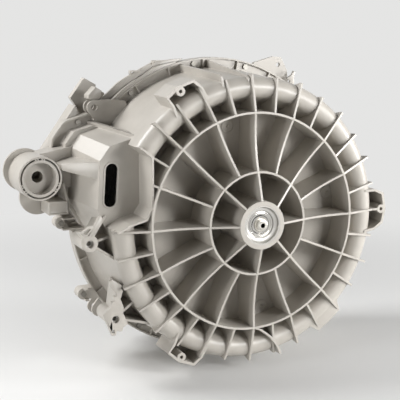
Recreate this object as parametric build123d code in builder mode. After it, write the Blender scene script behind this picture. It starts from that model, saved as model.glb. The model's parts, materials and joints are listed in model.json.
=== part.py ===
from build123d import *
import os
from math import atan2, cos, degrees, hypot, radians, sin

# Washing machine drum assembly: plastic tub with its ribbed back, bearings, shaft, spider and drum.
# The drum turns about Y. The hub's rear rim is at Y = 0 and the ribbed back looks towards -Y.
# Z is up as the assembly lies on a bench. The side with the sump is at -X.

os.makedirs("parts", exist_ok=True)

# Tub wall and dished back
tub_radius = 265.0
tub_wall = 3.0
shoulder_y = 48.0
shoulder_round = 20.0
shoulder_lean = 157.5
trough_radius = 213.0
wall_draft = 6.0
floor_hub_y = 104.0
floor_ring_y = 92.0

# Ribs of the back
rib_thickness = 4.0
hub_rib_count = 8
inner_rib_count = 16
inner_ring_radius = 95.0
inner_ring_y = 18.0
middle_ring_radius = 202.0
middle_ring_y = 30.0
crest_hollow = 6.0
long_tip = 6.0
short_tip = 2.0

# Seam between the rear and front halves
seam_y = 243.0
flange_thickness = 8.0
flange_width = 19.0
flange_rim_height = 6.0
flange_rim_thickness = 3.0
flange_gusset_count = 24
flange_gusset = 2.5
gasket_start = 1.0
gasket_width = 4.0
gasket_depth = 4.0

# Hub, bearings and shaft
hub_radius = 44.5
hub_draft = 1.5
hub_front_y = 109.0
sleeve_radius = 36.0
sleeve_rear_y = 3.0
middle_bore = 22.5
rear_bearing_y = 8.0
rear_bearing_width = 15.0
front_bearing_y = 82.0
front_bearing_width = 16.0
rear_journal = 12.5
front_journal = 15.0
rear_seat = 26.0
front_seat = 31.0
rear_ball = 3.97
front_ball = 4.76
ball_count = 9
ball_box = 1.7259
ball_cut = 0.5055
fit_clearance = 0.05
seal_seat = 33.0
seal_length = 8.5
seal_ring_radius = 18.0
pulley_journal = 10.0
shaft_rear_y = -3.0
shaft_front_y = 150.0
shaft_knurl_radius = 17.0
thread_radius = 4.25
thread_depth = 25.0

# Sump, as corners in X and Z at its near end and at the seam
sump_rear_y = 100.0
panel_thickness = 3.5
panel_crest_y = 35.0
sump_near = [(-190, 150), (-209, 159), (-255, 146), (-274, 121), (-279, 33), (-262, -14), (-190, -14)]
sump_seam = [(-205, 150), (-251, 172), (-288, 162), (-305, 140), (-312, 42), (-280, -14), (-190, -14)]
sump_front = [(-205, 150), (-245, 160), (-270, 146), (-282, 121), (-286, 33), (-265, -14), (-190, -14)]
sump_front_y = 325.0
recess_outline = [(-200, 131), (-200, 40), (-212, 22), (-240, 15), (-275, -2), (-340, -2)]
recess_outline += [(-340, 250), (-236, 161)]
collar_y = 203.0
heater_slot_x = -254.0
heater_slot_z = 76.0
heater_slot_height = 79.0
heater_slot_width = 23.0
heater_slot_turn = 86.0
heater_lip = 3.0
ridge_height = 6.0
ridge_thickness = 3.0
ridge_gap = 7.0
curved_rib = [(0, -202), (20, -209), (42, -226), (56, -244), (64, -262)]
curved_rib_y = 38.0
bulge_start = -57.0
bulge_end = -45.0
bulge_radius = 276.0
bulge_front_y = 120.0

# Front half
front_depth = 112.0
front_corner = 26.0
front_draft = 2.0
mouth_radius = 172.0
mouth_collar = 18.0

# Drum and its lifters
drum_radius = 240.0
drum_sheet = 1.2
drum_rear_y = 108.0
drum_front_y = 336.0
drum_mouth_radius = 160.0
lifter_count = 3
lifter_height = 52.0
lifter_width = 62.0
lifter_top = 14.0
lifter_rear_y = 150.0
lifter_front_y = 318.0

# Spider
spider_hub_radius = 34.0
spider_rear_y = 113.0
spider_hub_length = 44.0
arm_angles = [90.0, 210.0, 330.0]
arm_thickness = 9.0
arm_plate_width = 34.0
arm_end_width = 26.0
arm_bolt_y = 123.0
arm_bolt_radius = 4.0
arm_bolt_head = 7.0
arm_bolt_length = 22.0
arm_gap = 0.3
arm_plate_gap = 0.8

# Fixings on the outside of the tub
screw_radius = 2.5
screw_sides = 12
screw_head_radius = 5.5
screw_head_height = 4.0
screw_length = 20.0
screw_boss_radius = 6.5
flange_screw_radius = 280.5
flange_screw_angles = [12, 39, 74, 97, 126, 237, 262, 286, 321, 345]
sump_screws = [(-271, 176), (-318, 91)]
ear_pitch_radius = 311.0
ear_angles = [-177.6, -150.0]
ear_radius = 11.0
ear_rear_y = 225.0
ear_rib_y = 212.0
ear_rib_thickness = 3.0
transit_pitch_radius = 282.0
transit_hole_radius = 3.2
transit_boss_radius = 8.5
transit_length = 60.0
transit_y = 45.0
transit_half_width = 32.0
transit_wall = 4.5
transit_foot = -30.0
transit_long_foot = -45.0
damper_pin_radius = 6.0
damper_gap = 21.0
damper_ear = 5.0
damper_ear_radius = 14.0
damper_base = 46.0
damper_lower_pin = (-230, -198)
damper_upper_pin = (-242, 203)
clevis_rear_y = 253.0
upper_clevis_y = 221.0
upper_gap = 16.0
upper_pad_radius = 303.0
strut_plate = [(-242, 217), (-216, 218), (-181, 214), (-165, 190), (-200, 165), (-230, 181), (-246, 189)]
bracket_plate = [(-242, 254), (-270, 217), (-257, 198), (-266, 181), (-262, 176), (-222, 150), (-185, 190)]
bracket_plate += [(-203, 225), (-219, 231), (-219, 241)]
bracket_plate_y = 284.0
bracket_wall = 3.5
bracket_fold = 12.0
motor_pitch_radius = 308.0
motor_boss_radius = 15.0
motor_boss_length = 60.0
motor_lug_y = 65.0
motor_web = 4.5
motor_web_depth = 50.0
motor_bush_radius = 6.5
motor_bush_bore = 4.2
motor_bush_recess = 5.0
motor_upper_angle = -176.4
motor_lower_angle = -148.3
motor_upper_roots = [((-266, 22), 97), ((-258, -14), 88), ((-250, -58), 72)]
motor_lower_roots = [((-250, -99), 72), ((-226, -134), 66), ((-192, -179), 66)]
spring_ear_y = 253.0
spring_ear_thickness = 6.0
spring_hole = (161, 270)
spring_hole_radius = 4.5
spring_ear_corners = [(98, 240), (106, 276), (150, 287), (168, 285), (182, 258), (190, 190)]
outlet_axis = (-366, 86)
outlet_rear_y = 160.0
outlet_radius = 40.0
outlet_cup_radius = 29.0
outlet_cup_depth = 22.0
outlet_throat_radius = 10.5
outlet_plate_thickness = 7.0
outlet_lobes = [((-375, 92), 40), ((-352, 40), 34)]
outlet_duct = [(-270, 140), (-366, 124), (-366, 50), (-270, 66)]
outlet_duct_y = 196.0
bayonet_radius = 35.5
bayonet_slot = 3.0
bayonet_depth = 12.0
bayonet_bridge = 2.4
bayonet_bridges = [77, 84, 96, 103, 197, 204, 216, 223, 317, 324, 336, 343]
drain_bore_y = 214.0

# Sizes that follow
flange_rear_y = seam_y - flange_thickness
flange_front_y = seam_y + flange_thickness
seam_radius = tub_radius + wall_draft
flange_radius = seam_radius + flange_width
front_end_y = seam_y + front_depth
front_radius = seam_radius - front_draft
shoulder_centre = (tub_radius - shoulder_round, shoulder_y - 2 + shoulder_round)
shell_inside = drum_radius - drum_sheet
spider_front_y = spider_rear_y + spider_hub_length
sump_edge_x = -262.0
sump_inner_x = -280.0
drain_plane = Plane(origin=(outlet_axis[0], drain_bore_y, outlet_axis[1]), x_dir=(0, 1, 0), z_dir=(1, 0, 0))
outlet_front_y = seam_y - 1


def rear_plane(y):
    """Plane across the drum axis at y: sketch X is X, sketch Y is Z, and extrusion goes to -Y."""
    return Plane.XZ.offset(-y)


def radial_plane(angle):
    """Plane through the drum axis at an angle from +X: sketch X is radius, sketch Y is Y."""
    turn = radians(angle)
    return Plane(origin=(0, 0, 0), x_dir=(cos(turn), 0, sin(turn)), z_dir=(-sin(turn), 0, cos(turn)))


def web_plane(start, end):
    """Plane along Y through two points of X and Z: sketch X runs from start to end, sketch Y is Y."""
    length = hypot(end[0] - start[0], end[1] - start[1])
    run_x = (end[0] - start[0]) / length
    run_z = (end[1] - start[1]) / length
    return Plane(origin=(start[0], 0, start[1]), x_dir=(run_x, 0, run_z), z_dir=(-run_z, 0, run_x))


def around(radius, side, angle):
    """X and Z of a point out along a radius at an angle, and to its side."""
    turn = radians(angle)
    return (radius * cos(turn) - side * sin(turn), radius * sin(turn) + side * cos(turn))


def on_shoulder(radius, angle):
    """Radius and Y of a point of the rounded shoulder, from its outermost point round to the back."""
    turn = radians(angle)
    return (shoulder_centre[0] + radius * cos(turn), shoulder_centre[1] - radius * sin(turn))


def spaced(count, start=0.0):
    """Angles of count equal steps round the axis."""
    return [start + 360.0 * step / count for step in range(count)]


def outline(points):
    """Closed face from corners, in the sketch that is open."""
    Polygon(*points, align=None)


def finish(piece, label):
    """Name a finished piece and write it."""
    piece.label = label
    export_step(piece, f"parts/{label}.step")
    print(label, piece.is_valid, len(piece.solids()), round(piece.volume))


def turned(label, points):
    """Ring turned about the drum axis from corners given as radius and Y, written as a piece."""
    with BuildPart() as ring:
        with BuildSketch(Plane.XY):
            outline(points)
        revolve(axis=Axis.Y)
    finish(ring.part, label)


def seam_shape(grow):
    """Round wall with the sump's bulge, grown outwards by grow."""
    with BuildSketch(Plane.XY, mode=Mode.PRIVATE) as shape:
        Circle(seam_radius)
        outline(sump_seam)
        if grow > 0:
            offset(amount=grow, kind=Kind.ARC)
    return shape.sketch_local


def ruled_block(near, near_y, far, far_y, inset):
    """Tapered block between two outlines, drawn in by inset."""
    with BuildPart() as block:
        for corners, y in ((near, near_y), (far, far_y)):
            with BuildSketch(rear_plane(y)):
                outline(corners)
                if inset > 0:
                    offset(amount=-inset, kind=Kind.INTERSECTION)
        loft(ruled=True)
    return block.part


def ridge_outline(corner, shift):
    """Section of a ridge that stands on the sump's top edge, shifted towards the tub."""
    x, z = corner[0] + shift, corner[1]
    return [
        (x, z - ridge_height),
        (x + ridge_thickness, z - ridge_height),
        (x + ridge_thickness - 2, z + ridge_height),
        (x - 2, z + ridge_height),
    ]


def recess_block(grow, front_y):
    """Space where the ribbed back gives way to the sump, down to front_y."""
    with BuildPart() as block:
        with BuildSketch(rear_plane(front_y)):
            outline(recess_outline)
            if grow > 0:
                offset(amount=grow, kind=Kind.INTERSECTION)
        extrude(amount=front_y + 20)
    return block.part


screw_spots = [around(flange_screw_radius, 0, angle) for angle in flange_screw_angles] + sump_screws
ear_spots = [around(ear_pitch_radius, 0, angle) for angle in ear_angles]
sump_outside = ruled_block(sump_near, sump_rear_y, sump_seam, seam_y, 0)
sump_inside = ruled_block(sump_near, sump_rear_y + tub_wall, sump_seam, seam_y + 1, tub_wall)
recess_outside = recess_block(0, sump_rear_y)
recess_inside = recess_block(panel_thickness, sump_rear_y + tub_wall)

# Outer form of the rear half, solid
with BuildPart() as rear_form:
    with BuildSketch(Plane.XY):
        with BuildLine():
            Polyline(
                (0, 0),
                (hub_radius, 0),
                (hub_radius + hub_draft, floor_hub_y),
                (trough_radius, floor_ring_y),
                on_shoulder(shoulder_round, shoulder_lean),
            )
            ThreePointArc(
                on_shoulder(shoulder_round, shoulder_lean),
                on_shoulder(shoulder_round, 90),
                on_shoulder(shoulder_round, 0),
            )
            Polyline(
                on_shoulder(shoulder_round, 0),
                (seam_radius, flange_rear_y),
                (seam_radius, seam_y),
                (0, seam_y),
                (0, 0),
            )
        make_face()
    revolve(axis=Axis.Y)
    add(sump_outside)
    with BuildSketch(rear_plane(seam_y)):
        outline(sump_seam)
    extrude(amount=seam_y - collar_y)

# Space inside the rear half, from the back's inner face to the seam
with BuildPart() as rear_inside:
    with BuildSketch(Plane.XY):
        with BuildLine():
            Polyline(
                (0, hub_front_y),
                (hub_radius + hub_draft + tub_wall, hub_front_y),
                (hub_radius + hub_draft + 2 * tub_wall, floor_hub_y + tub_wall),
                (trough_radius + tub_wall / 2, floor_ring_y + tub_wall),
                on_shoulder(shoulder_round - tub_wall, shoulder_lean),
            )
            ThreePointArc(
                on_shoulder(shoulder_round - tub_wall, shoulder_lean),
                on_shoulder(shoulder_round - tub_wall, 90),
                on_shoulder(shoulder_round - tub_wall, 0),
            )
            Polyline(
                on_shoulder(shoulder_round - tub_wall, 0),
                (seam_radius - tub_wall, flange_rear_y),
                (seam_radius - tub_wall, seam_y + 1),
                (0, seam_y + 1),
                (0, hub_front_y),
            )
        make_face()
    revolve(axis=Axis.Y)
    add(recess_inside, mode=Mode.SUBTRACT)
    add(sump_inside)

# Rear half of the tub: the dished and ribbed back, its hub, the wall, the sump and the seam flange
with BuildPart() as tub_rear:
    add(rear_form.part)
    # seam flange with its raised rim
    with BuildSketch(rear_plane(seam_y)):
        add(seam_shape(flange_width))
    extrude(amount=flange_thickness)
    with BuildSketch(rear_plane(flange_rear_y)):
        add(seam_shape(flange_width))
        add(seam_shape(flange_width - flange_rim_thickness), mode=Mode.SUBTRACT)
    extrude(amount=flange_rim_height)
    # thin gussets in the channel between the wall and the rim
    with BuildSketch(*[radial_plane(angle) for angle in spaced(flange_gusset_count, 3.0)]):
        outline(
            [
                (seam_radius - 2, flange_rear_y - flange_rim_height),
                (flange_radius - 1, flange_rear_y - flange_rim_height),
                (flange_radius - 1, flange_rear_y + 1),
                (seam_radius - 2, flange_rear_y + 1),
            ]
        )
    extrude(amount=flange_gusset / 2, both=True)
    # hub ribs, from the hub's rim to the inner ring
    with BuildSketch(*[radial_plane(angle) for angle in spaced(hub_rib_count)]):
        outline(
            [
                (hub_radius - rib_thickness, 1),
                (hub_radius, 1),
                (inner_ring_radius, inner_ring_y),
                (inner_ring_radius, floor_hub_y),
                (hub_radius - rib_thickness, floor_hub_y),
            ]
        )
    extrude(amount=rib_thickness / 2, both=True)
    # ribs between the rings, their crests slightly hollow
    with BuildSketch(*[radial_plane(angle) for angle in spaced(inner_rib_count)]):
        with BuildLine():
            ThreePointArc(
                (inner_ring_radius, inner_ring_y),
                (
                    (inner_ring_radius + middle_ring_radius) / 2,
                    (inner_ring_y + middle_ring_y) / 2 + crest_hollow,
                ),
                (middle_ring_radius, middle_ring_y),
            )
            Polyline(
                (middle_ring_radius, middle_ring_y),
                (middle_ring_radius, floor_ring_y + 2),
                (inner_ring_radius, floor_hub_y),
                (inner_ring_radius, inner_ring_y),
            )
        make_face()
    extrude(amount=rib_thickness / 2, both=True)
    # ribs from the middle ring over the shoulder, every other one with a longer tip
    for first_angle, tip in ((0.0, long_tip), (180.0 / inner_rib_count, short_tip)):
        with BuildSketch(*[radial_plane(angle) for angle in spaced(inner_rib_count, first_angle)]):
            outline(
                [
                    (middle_ring_radius, middle_ring_y),
                    (tub_radius + tip, shoulder_y - 1),
                    (tub_radius + tip, shoulder_y + 4),
                    (tub_radius - 1, shoulder_y + 26),
                    (middle_ring_radius, floor_ring_y + 2),
                ]
            )
        extrude(amount=rib_thickness / 2, both=True)
    # the two ring walls
    for radius, crest, root in (
        (inner_ring_radius, inner_ring_y, floor_hub_y),
        (middle_ring_radius, middle_ring_y, floor_ring_y + 2),
    ):
        with BuildSketch(Plane.XY):
            outline(
                [
                    (radius - rib_thickness / 2, crest),
                    (radius + rib_thickness / 2, crest),
                    (radius + rib_thickness / 2 + 0.5, root),
                    (radius - rib_thickness / 2 - 0.5, root),
                ]
            )
        revolve(axis=Axis.Y)
    # rails along the top
    for angle, near_radius, far_radius in ((102.5, 278, 285), (91.0, 268, 285)):
        with BuildSketch(radial_plane(angle)):
            outline(
                [
                    (shoulder_centre[0], shoulder_y),
                    (near_radius - 4, shoulder_y + 2),
                    (near_radius, shoulder_y + 8),
                    (far_radius, flange_rear_y),
                    (seam_radius - 1, flange_rear_y),
                ]
            )
        extrude(amount=rib_thickness / 2, both=True)
    # screw ears below the sump
    with BuildSketch(rear_plane(seam_y)):
        for spot in ear_spots:
            with Locations(spot):
                Circle(ear_radius)
            with Locations((spot[0] + flange_width, spot[1])):
                Rectangle(2 * flange_width, 2 * ear_radius)
        add(seam_shape(flange_width - 1), mode=Mode.SUBTRACT)
    extrude(amount=seam_y - ear_rear_y)
    # ribs under the ears
    with BuildSketch(rear_plane(seam_y)):
        for x, z in ear_spots:
            for side in (1 - ear_radius, ear_radius - 1):
                with Locations(((x - sump_edge_x) / 2 + sump_edge_x, z + side)):
                    Rectangle(sump_edge_x - x, ear_rib_thickness)
    extrude(amount=seam_y - ear_rib_y)
    # curved rib below the hub, from the middle ring over the shoulder
    with BuildSketch(rear_plane(floor_ring_y)):
        outline(curved_rib + [(x - rib_thickness, z - rib_thickness / 2) for x, z in reversed(curved_rib)])
    extrude(amount=floor_ring_y - curved_rib_y)
    # bulge of the wall at the lower right
    with BuildSketch(rear_plane(bulge_front_y)):
        outline(
            [around(tub_radius - 12, 0, bulge_start - 3)]
            + [around(bulge_radius, 0, angle) for angle in (bulge_start, -51.0, bulge_end)]
            + [around(tub_radius - 12, 0, bulge_end + 3)]
        )
    extrude(amount=bulge_front_y - shoulder_y)
    # the back is cut away beside the sump, and the cut is closed by a panel
    add(recess_outside, mode=Mode.SUBTRACT)
    with BuildSketch(rear_plane(sump_rear_y)):
        outline(recess_outline)
        offset(amount=panel_thickness, kind=Kind.INTERSECTION)
        with BuildLine():
            Polyline(*recess_outline, close=True)
        make_face(mode=Mode.SUBTRACT)
        Circle(tub_radius - 2, mode=Mode.INTERSECT)
    extrude(amount=sump_rear_y - panel_crest_y)
    # two ridges along the top edge of the sump
    for shift in (0.0, ridge_gap):
        add(
            ruled_block(
                ridge_outline(sump_near[1], shift),
                sump_rear_y,
                ridge_outline(sump_seam[1], shift),
                flange_rear_y,
                0,
            )
        )
    # raised lip round the heater slot
    with BuildSketch(rear_plane(sump_rear_y)):
        with Locations((heater_slot_x, heater_slot_z)):
            SlotOverall(
                heater_slot_height + 2 * heater_lip,
                heater_slot_width + 2 * heater_lip,
                rotation=heater_slot_turn,
            )
    extrude(amount=heater_lip / 2)
    # inside space, bore for the bearing sleeve, heater slot, gasket groove and screw holes
    add(rear_inside.part, mode=Mode.SUBTRACT)
    with BuildSketch(rear_plane(hub_front_y + 1)):
        Circle(sleeve_radius)
    extrude(amount=hub_front_y + 2, mode=Mode.SUBTRACT)
    with BuildSketch(rear_plane(sump_rear_y + 10)):
        with Locations((heater_slot_x, heater_slot_z)):
            SlotOverall(heater_slot_height, heater_slot_width, rotation=heater_slot_turn)
    extrude(amount=20, mode=Mode.SUBTRACT)
    with BuildSketch(rear_plane(seam_y)):
        add(seam_shape(gasket_start + gasket_width))
        add(seam_shape(gasket_start), mode=Mode.SUBTRACT)
    extrude(amount=gasket_depth, mode=Mode.SUBTRACT)
    with BuildSketch(drain_plane):
        Circle(outlet_throat_radius)
    extrude(amount=-outlet_axis[0] + sump_inner_x, mode=Mode.SUBTRACT)
    with BuildSketch(rear_plane(seam_y)):
        with Locations(*(screw_spots + ear_spots)):
            RegularPolygon(screw_radius + fit_clearance, screw_sides)
    extrude(amount=2 * flange_thickness + flange_rim_height, mode=Mode.SUBTRACT)
finish(tub_rear.part, "tub_rear")

# Seal cord between the halves
with BuildPart() as seam_gasket:
    with BuildSketch(rear_plane(seam_y)):
        add(seam_shape(gasket_start + gasket_width))
        add(seam_shape(gasket_start), mode=Mode.SUBTRACT)
    extrude(amount=gasket_depth)
finish(seam_gasket.part, "seam_gasket")

# Outer form of the front half, solid
with BuildPart() as front_form:
    with BuildSketch(Plane.XY):
        with BuildLine():
            Polyline(
                (0, front_end_y),
                (0, seam_y),
                (seam_radius, seam_y),
                (front_radius, front_end_y - front_corner),
                (front_radius - 0.29 * front_corner, front_end_y - 0.29 * front_corner),
                (front_radius - front_corner, front_end_y),
                (0, front_end_y),
            )
        make_face()
    revolve(axis=Axis.Y)
    add(ruled_block(sump_seam, seam_y, sump_front, sump_front_y, 0))

# Space inside the front half
front_sump_inside = ruled_block(sump_seam, seam_y - 1, sump_front, sump_front_y - tub_wall, tub_wall)
with BuildPart() as front_inside:
    with BuildSketch(Plane.XY):
        with BuildLine():
            Polyline(
                (0, front_end_y - tub_wall),
                (0, seam_y - 1),
                (seam_radius - tub_wall, seam_y - 1),
                (seam_radius - tub_wall, seam_y),
                (front_radius - tub_wall, front_end_y - front_corner),
                (front_radius - tub_wall - 0.26 * front_corner, front_end_y - tub_wall - 0.26 * front_corner),
                (front_radius - front_corner, front_end_y - tub_wall),
                (0, front_end_y - tub_wall),
            )
        make_face()
    revolve(axis=Axis.Y)
    add(front_sump_inside)

# Front half of the tub with its flange, screw bosses and loading mouth
with BuildPart() as tub_front:
    add(front_form.part)
    with BuildSketch(rear_plane(flange_front_y)):
        add(seam_shape(flange_width))
        for spot in ear_spots:
            with Locations(spot):
                Circle(ear_radius)
            with Locations((spot[0] + flange_width, spot[1])):
                Rectangle(2 * flange_width, 2 * ear_radius)
    extrude(amount=flange_thickness)
    with BuildSketch(rear_plane(flange_front_y + flange_thickness)):
        with Locations(*(screw_spots + ear_spots)):
            RegularPolygon(screw_boss_radius, screw_sides)
    extrude(amount=flange_thickness)
    with BuildSketch(rear_plane(front_end_y + mouth_collar)):
        Circle(mouth_radius + tub_wall)
    extrude(amount=mouth_collar)
    add(front_inside.part, mode=Mode.SUBTRACT)
    with BuildSketch(rear_plane(front_end_y + mouth_collar)):
        Circle(mouth_radius)
    extrude(amount=mouth_collar + 2 * tub_wall, mode=Mode.SUBTRACT)
    with BuildSketch(rear_plane(seam_y + screw_length - flange_thickness)):
        with Locations(*(screw_spots + ear_spots)):
            RegularPolygon(screw_radius, screw_sides)
    extrude(amount=screw_length, mode=Mode.SUBTRACT)
finish(tub_front.part, "tub_front")

# Hexagon screws through the seam flange; those in the ears sit further back
with BuildPart() as seam_screws:
    for spots, seat_y in ((screw_spots, flange_rear_y), (ear_spots, ear_rear_y)):
        with BuildSketch(rear_plane(seat_y)):
            with Locations(*spots):
                RegularPolygon(screw_head_radius, 6)
        extrude(amount=screw_head_height)
        with BuildSketch(rear_plane(seam_y + screw_length - flange_thickness)):
            with Locations(*spots):
                RegularPolygon(screw_radius, screw_sides)
        extrude(amount=seam_y + screw_length - flange_thickness - seat_y)
finish(seam_screws.part, "seam_screws")

# Steel sleeve moulded into the hub, stepped for the two bearings and the seal
turned(
    "bearing_sleeve",
    [
        (rear_seat, sleeve_rear_y),
        (sleeve_radius, sleeve_rear_y),
        (sleeve_radius, hub_front_y),
        (seal_seat, hub_front_y),
        (seal_seat, front_bearing_y + front_bearing_width),
        (front_seat, front_bearing_y + front_bearing_width),
        (front_seat, front_bearing_y),
        (middle_bore, front_bearing_y),
        (middle_bore, rear_bearing_y + rear_bearing_width),
        (rear_seat, rear_bearing_y + rear_bearing_width),
    ],
)


def bearing(label, rear_y, width, bore, seat, ball):
    """Ball bearing of three pieces: outer ring, inner ring, and cage with its balls."""
    pitch = (bore + seat) / 2
    middle = rear_y + width / 2
    land = 0.67 * ball
    groove = 1.05 * ball
    turned(
        f"{label}_outer_ring",
        [
            (seat, rear_y),
            (seat, rear_y + width),
            (pitch + land, rear_y + width),
            (pitch + groove, middle),
            (pitch + land, rear_y),
        ],
    )
    turned(
        f"{label}_inner_ring",
        [
            (bore, rear_y),
            (bore, rear_y + width),
            (pitch - land, rear_y + width),
            (pitch - groove, middle),
            (pitch - land, rear_y),
        ],
    )
    with BuildPart() as one_ball:
        Box(ball_box * ball, ball_box * ball, ball_box * ball)
        chamfer(one_ball.edges(), ball_cut * ball)
    with BuildPart() as cage:
        with BuildSketch(rear_plane(middle + 0.5 * ball)):
            Circle(pitch + 0.3 * ball)
            Circle(pitch - 0.3 * ball, mode=Mode.SUBTRACT)
        extrude(amount=ball)
        for angle in spaced(ball_count):
            x, z = around(pitch, 0, angle)
            with Locations(Location((x, middle, z), (0, -angle, 0))):
                add(one_ball.part)
    finish(cage.part, f"{label}_cage")


bearing("rear_bearing", rear_bearing_y, rear_bearing_width, rear_journal, rear_seat, rear_ball)
bearing("front_bearing", front_bearing_y, front_bearing_width, front_journal, front_seat, front_ball)

# Lip seal in front of the front bearing, and the ring on the shaft that its lip runs on
seal_y = front_bearing_y + front_bearing_width + 0.5
turned(
    "shaft_seal",
    [
        (seal_seat, seal_y),
        (seal_seat, seal_y + seal_length),
        (seal_seat - 3, seal_y + seal_length),
        (seal_seat - 3, seal_y + 3),
        (seal_ring_radius + 3, seal_y + 3),
        (seal_ring_radius + fit_clearance, seal_y + seal_length),
        (seal_ring_radius + 2, seal_y),
    ],
)
turned(
    "seal_sleeve",
    [
        (front_journal, front_bearing_y + front_bearing_width),
        (seal_ring_radius, front_bearing_y + front_bearing_width),
        (seal_ring_radius, spider_rear_y),
        (front_journal, spider_rear_y),
    ],
)

# Shaft with the pulley's seat and its thread at the rear
turned(
    "drum_shaft",
    [
        (thread_radius, shaft_rear_y),
        (pulley_journal - 0.6, shaft_rear_y),
        (pulley_journal, shaft_rear_y + 0.6),
        (pulley_journal, rear_bearing_y),
        (rear_journal, rear_bearing_y),
        (rear_journal, rear_bearing_y + 2 * rear_bearing_width),
        (front_journal, rear_bearing_y + 2 * rear_bearing_width + 2),
        (front_journal, spider_rear_y),
        (shaft_knurl_radius, spider_rear_y),
        (shaft_knurl_radius, shaft_front_y),
        (0, shaft_front_y),
        (0, shaft_rear_y + thread_depth),
        (thread_radius, shaft_rear_y + thread_depth - 2),
    ],
)

# Rear sheet of the drum: a shallow dish whose lip stands in the shell
back_centre = (spider_hub_radius + 6, spider_front_y + 0.3)
back_middle = (middle_ring_radius + 3, 147.0)
back_edge = (drum_radius - 8, 138.0)
back_lip = (shell_inside - drum_sheet, 134.0)


def arm_bolt_plane(angle):
    """Plane across an arm's radius where the head of its bolt meets the shell."""
    turn = radians(angle)
    x, z = around(drum_radius, 0, angle)
    return Plane(origin=(x, arm_bolt_y, z), x_dir=(0, 1, 0), z_dir=(cos(turn), 0, sin(turn)))


arm_bolt_planes = [arm_bolt_plane(angle) for angle in arm_angles]
with BuildPart() as drum_back:
    with BuildSketch(Plane.XY):
        outline(
            [
                (0, back_centre[1]),
                back_centre,
                back_middle,
                back_edge,
                back_lip,
                (back_lip[0], drum_rear_y + 2),
                (shell_inside, drum_rear_y + 2),
                (shell_inside, back_lip[1] + drum_sheet),
                (back_edge[0] + 0.5, back_edge[1] + drum_sheet),
                (back_middle[0] + 0.5, back_middle[1] + drum_sheet),
                (back_centre[0], back_centre[1] + drum_sheet),
                (0, back_centre[1] + drum_sheet),
            ]
        )
    revolve(axis=Axis.Y)
    with BuildSketch(*arm_bolt_planes):
        Circle(arm_bolt_radius)
    extrude(amount=-arm_bolt_length, mode=Mode.SUBTRACT)
finish(drum_back.part, "drum_back")

# Drum shell, with holes for the arms' bolts
with BuildPart() as drum_shell:
    with BuildSketch(rear_plane(drum_front_y)):
        Circle(drum_radius)
        Circle(shell_inside, mode=Mode.SUBTRACT)
    extrude(amount=drum_front_y - drum_rear_y)
    with BuildSketch(*arm_bolt_planes):
        Circle(arm_bolt_radius)
    extrude(amount=-arm_bolt_length, mode=Mode.SUBTRACT)
finish(drum_shell.part, "drum_shell")

# Front sheet of the drum with its turned mouth
turned(
    "drum_front",
    [
        (shell_inside - drum_sheet, drum_front_y - 18),
        (shell_inside, drum_front_y - 18),
        (shell_inside, drum_front_y - 2),
        (shell_inside - 6, drum_front_y + 4),
        (drum_mouth_radius + 8, drum_front_y + 4),
        (drum_mouth_radius, drum_front_y - 2),
        (drum_mouth_radius, drum_front_y - 4),
        (drum_mouth_radius + 8.6, drum_front_y + 4 - drum_sheet),
        (shell_inside - 6.6, drum_front_y + 4 - drum_sheet),
        (shell_inside - drum_sheet, drum_front_y - 2.6),
    ],
)

# Lifters on the inside of the shell
for number, angle in enumerate(spaced(lifter_count, 30.0), start=1):
    with BuildPart() as lifter:
        with BuildSketch(rear_plane(lifter_front_y)):
            outline(
                [
                    around(drum_radius, -lifter_width / 2, angle),
                    around(drum_radius, lifter_width / 2, angle),
                    around(shell_inside - 0.8 * lifter_height, lifter_top, angle),
                    around(shell_inside - lifter_height, lifter_top / 2, angle),
                    around(shell_inside - lifter_height, -lifter_top / 2, angle),
                    around(shell_inside - 0.8 * lifter_height, -lifter_top, angle),
                ]
            )
            Circle(shell_inside, mode=Mode.INTERSECT)
        extrude(amount=lifter_front_y - lifter_rear_y)
    finish(lifter.part, f"drum_lifter_{number}")

# Spider: hub on the shaft, three arms with a plate along their front edge, and a block at each end
with BuildPart() as drum_spider:
    with BuildSketch(rear_plane(spider_front_y)):
        Circle(spider_hub_radius)
    extrude(amount=spider_hub_length)
    with BuildSketch(*[radial_plane(angle) for angle in arm_angles]):
        outline(
            [
                (shaft_knurl_radius + 3, spider_rear_y + 2),
                (middle_ring_radius, spider_rear_y),
                (back_lip[0] - arm_bolt_length, drum_rear_y + 4),
                (back_lip[0] - arm_gap, drum_rear_y + 4),
                (back_lip[0] - arm_gap, back_lip[1] - arm_gap),
                (back_edge[0], back_edge[1] - arm_gap),
                (back_middle[0], back_middle[1] - arm_gap),
                (back_centre[0], back_centre[1] - arm_gap),
                (shaft_knurl_radius + 3, spider_front_y),
            ]
        )
    extrude(amount=arm_thickness / 2, both=True)
    with BuildSketch(*[radial_plane(angle) for angle in arm_angles]):
        outline(
            [
                (back_centre[0], back_centre[1] - arm_thickness),
                (back_middle[0], back_middle[1] - arm_thickness + 3),
                (back_middle[0], back_middle[1] - arm_plate_gap),
                (back_centre[0], back_centre[1] - arm_plate_gap),
            ]
        )
    extrude(amount=arm_plate_width / 2, both=True)
    with BuildSketch(*[radial_plane(angle) for angle in arm_angles]):
        outline(
            [
                (back_lip[0] - arm_bolt_length, drum_rear_y + 4),
                (back_lip[0] - arm_plate_gap, drum_rear_y + 4),
                (back_lip[0] - arm_plate_gap, back_lip[1] - arm_plate_gap),
                (back_edge[0], back_edge[1] - arm_plate_gap),
                (back_lip[0] - arm_bolt_length, back_edge[1] - arm_plate_gap),
            ]
        )
    extrude(amount=arm_end_width / 2, both=True)
    with BuildSketch(rear_plane(shaft_front_y)):
        Circle(shaft_knurl_radius)
    extrude(amount=shaft_front_y, mode=Mode.SUBTRACT)
    with BuildSketch(*arm_bolt_planes):
        Circle(arm_bolt_radius)
    extrude(amount=-arm_bolt_length - 2, mode=Mode.SUBTRACT)
finish(drum_spider.part, "drum_spider")

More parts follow.
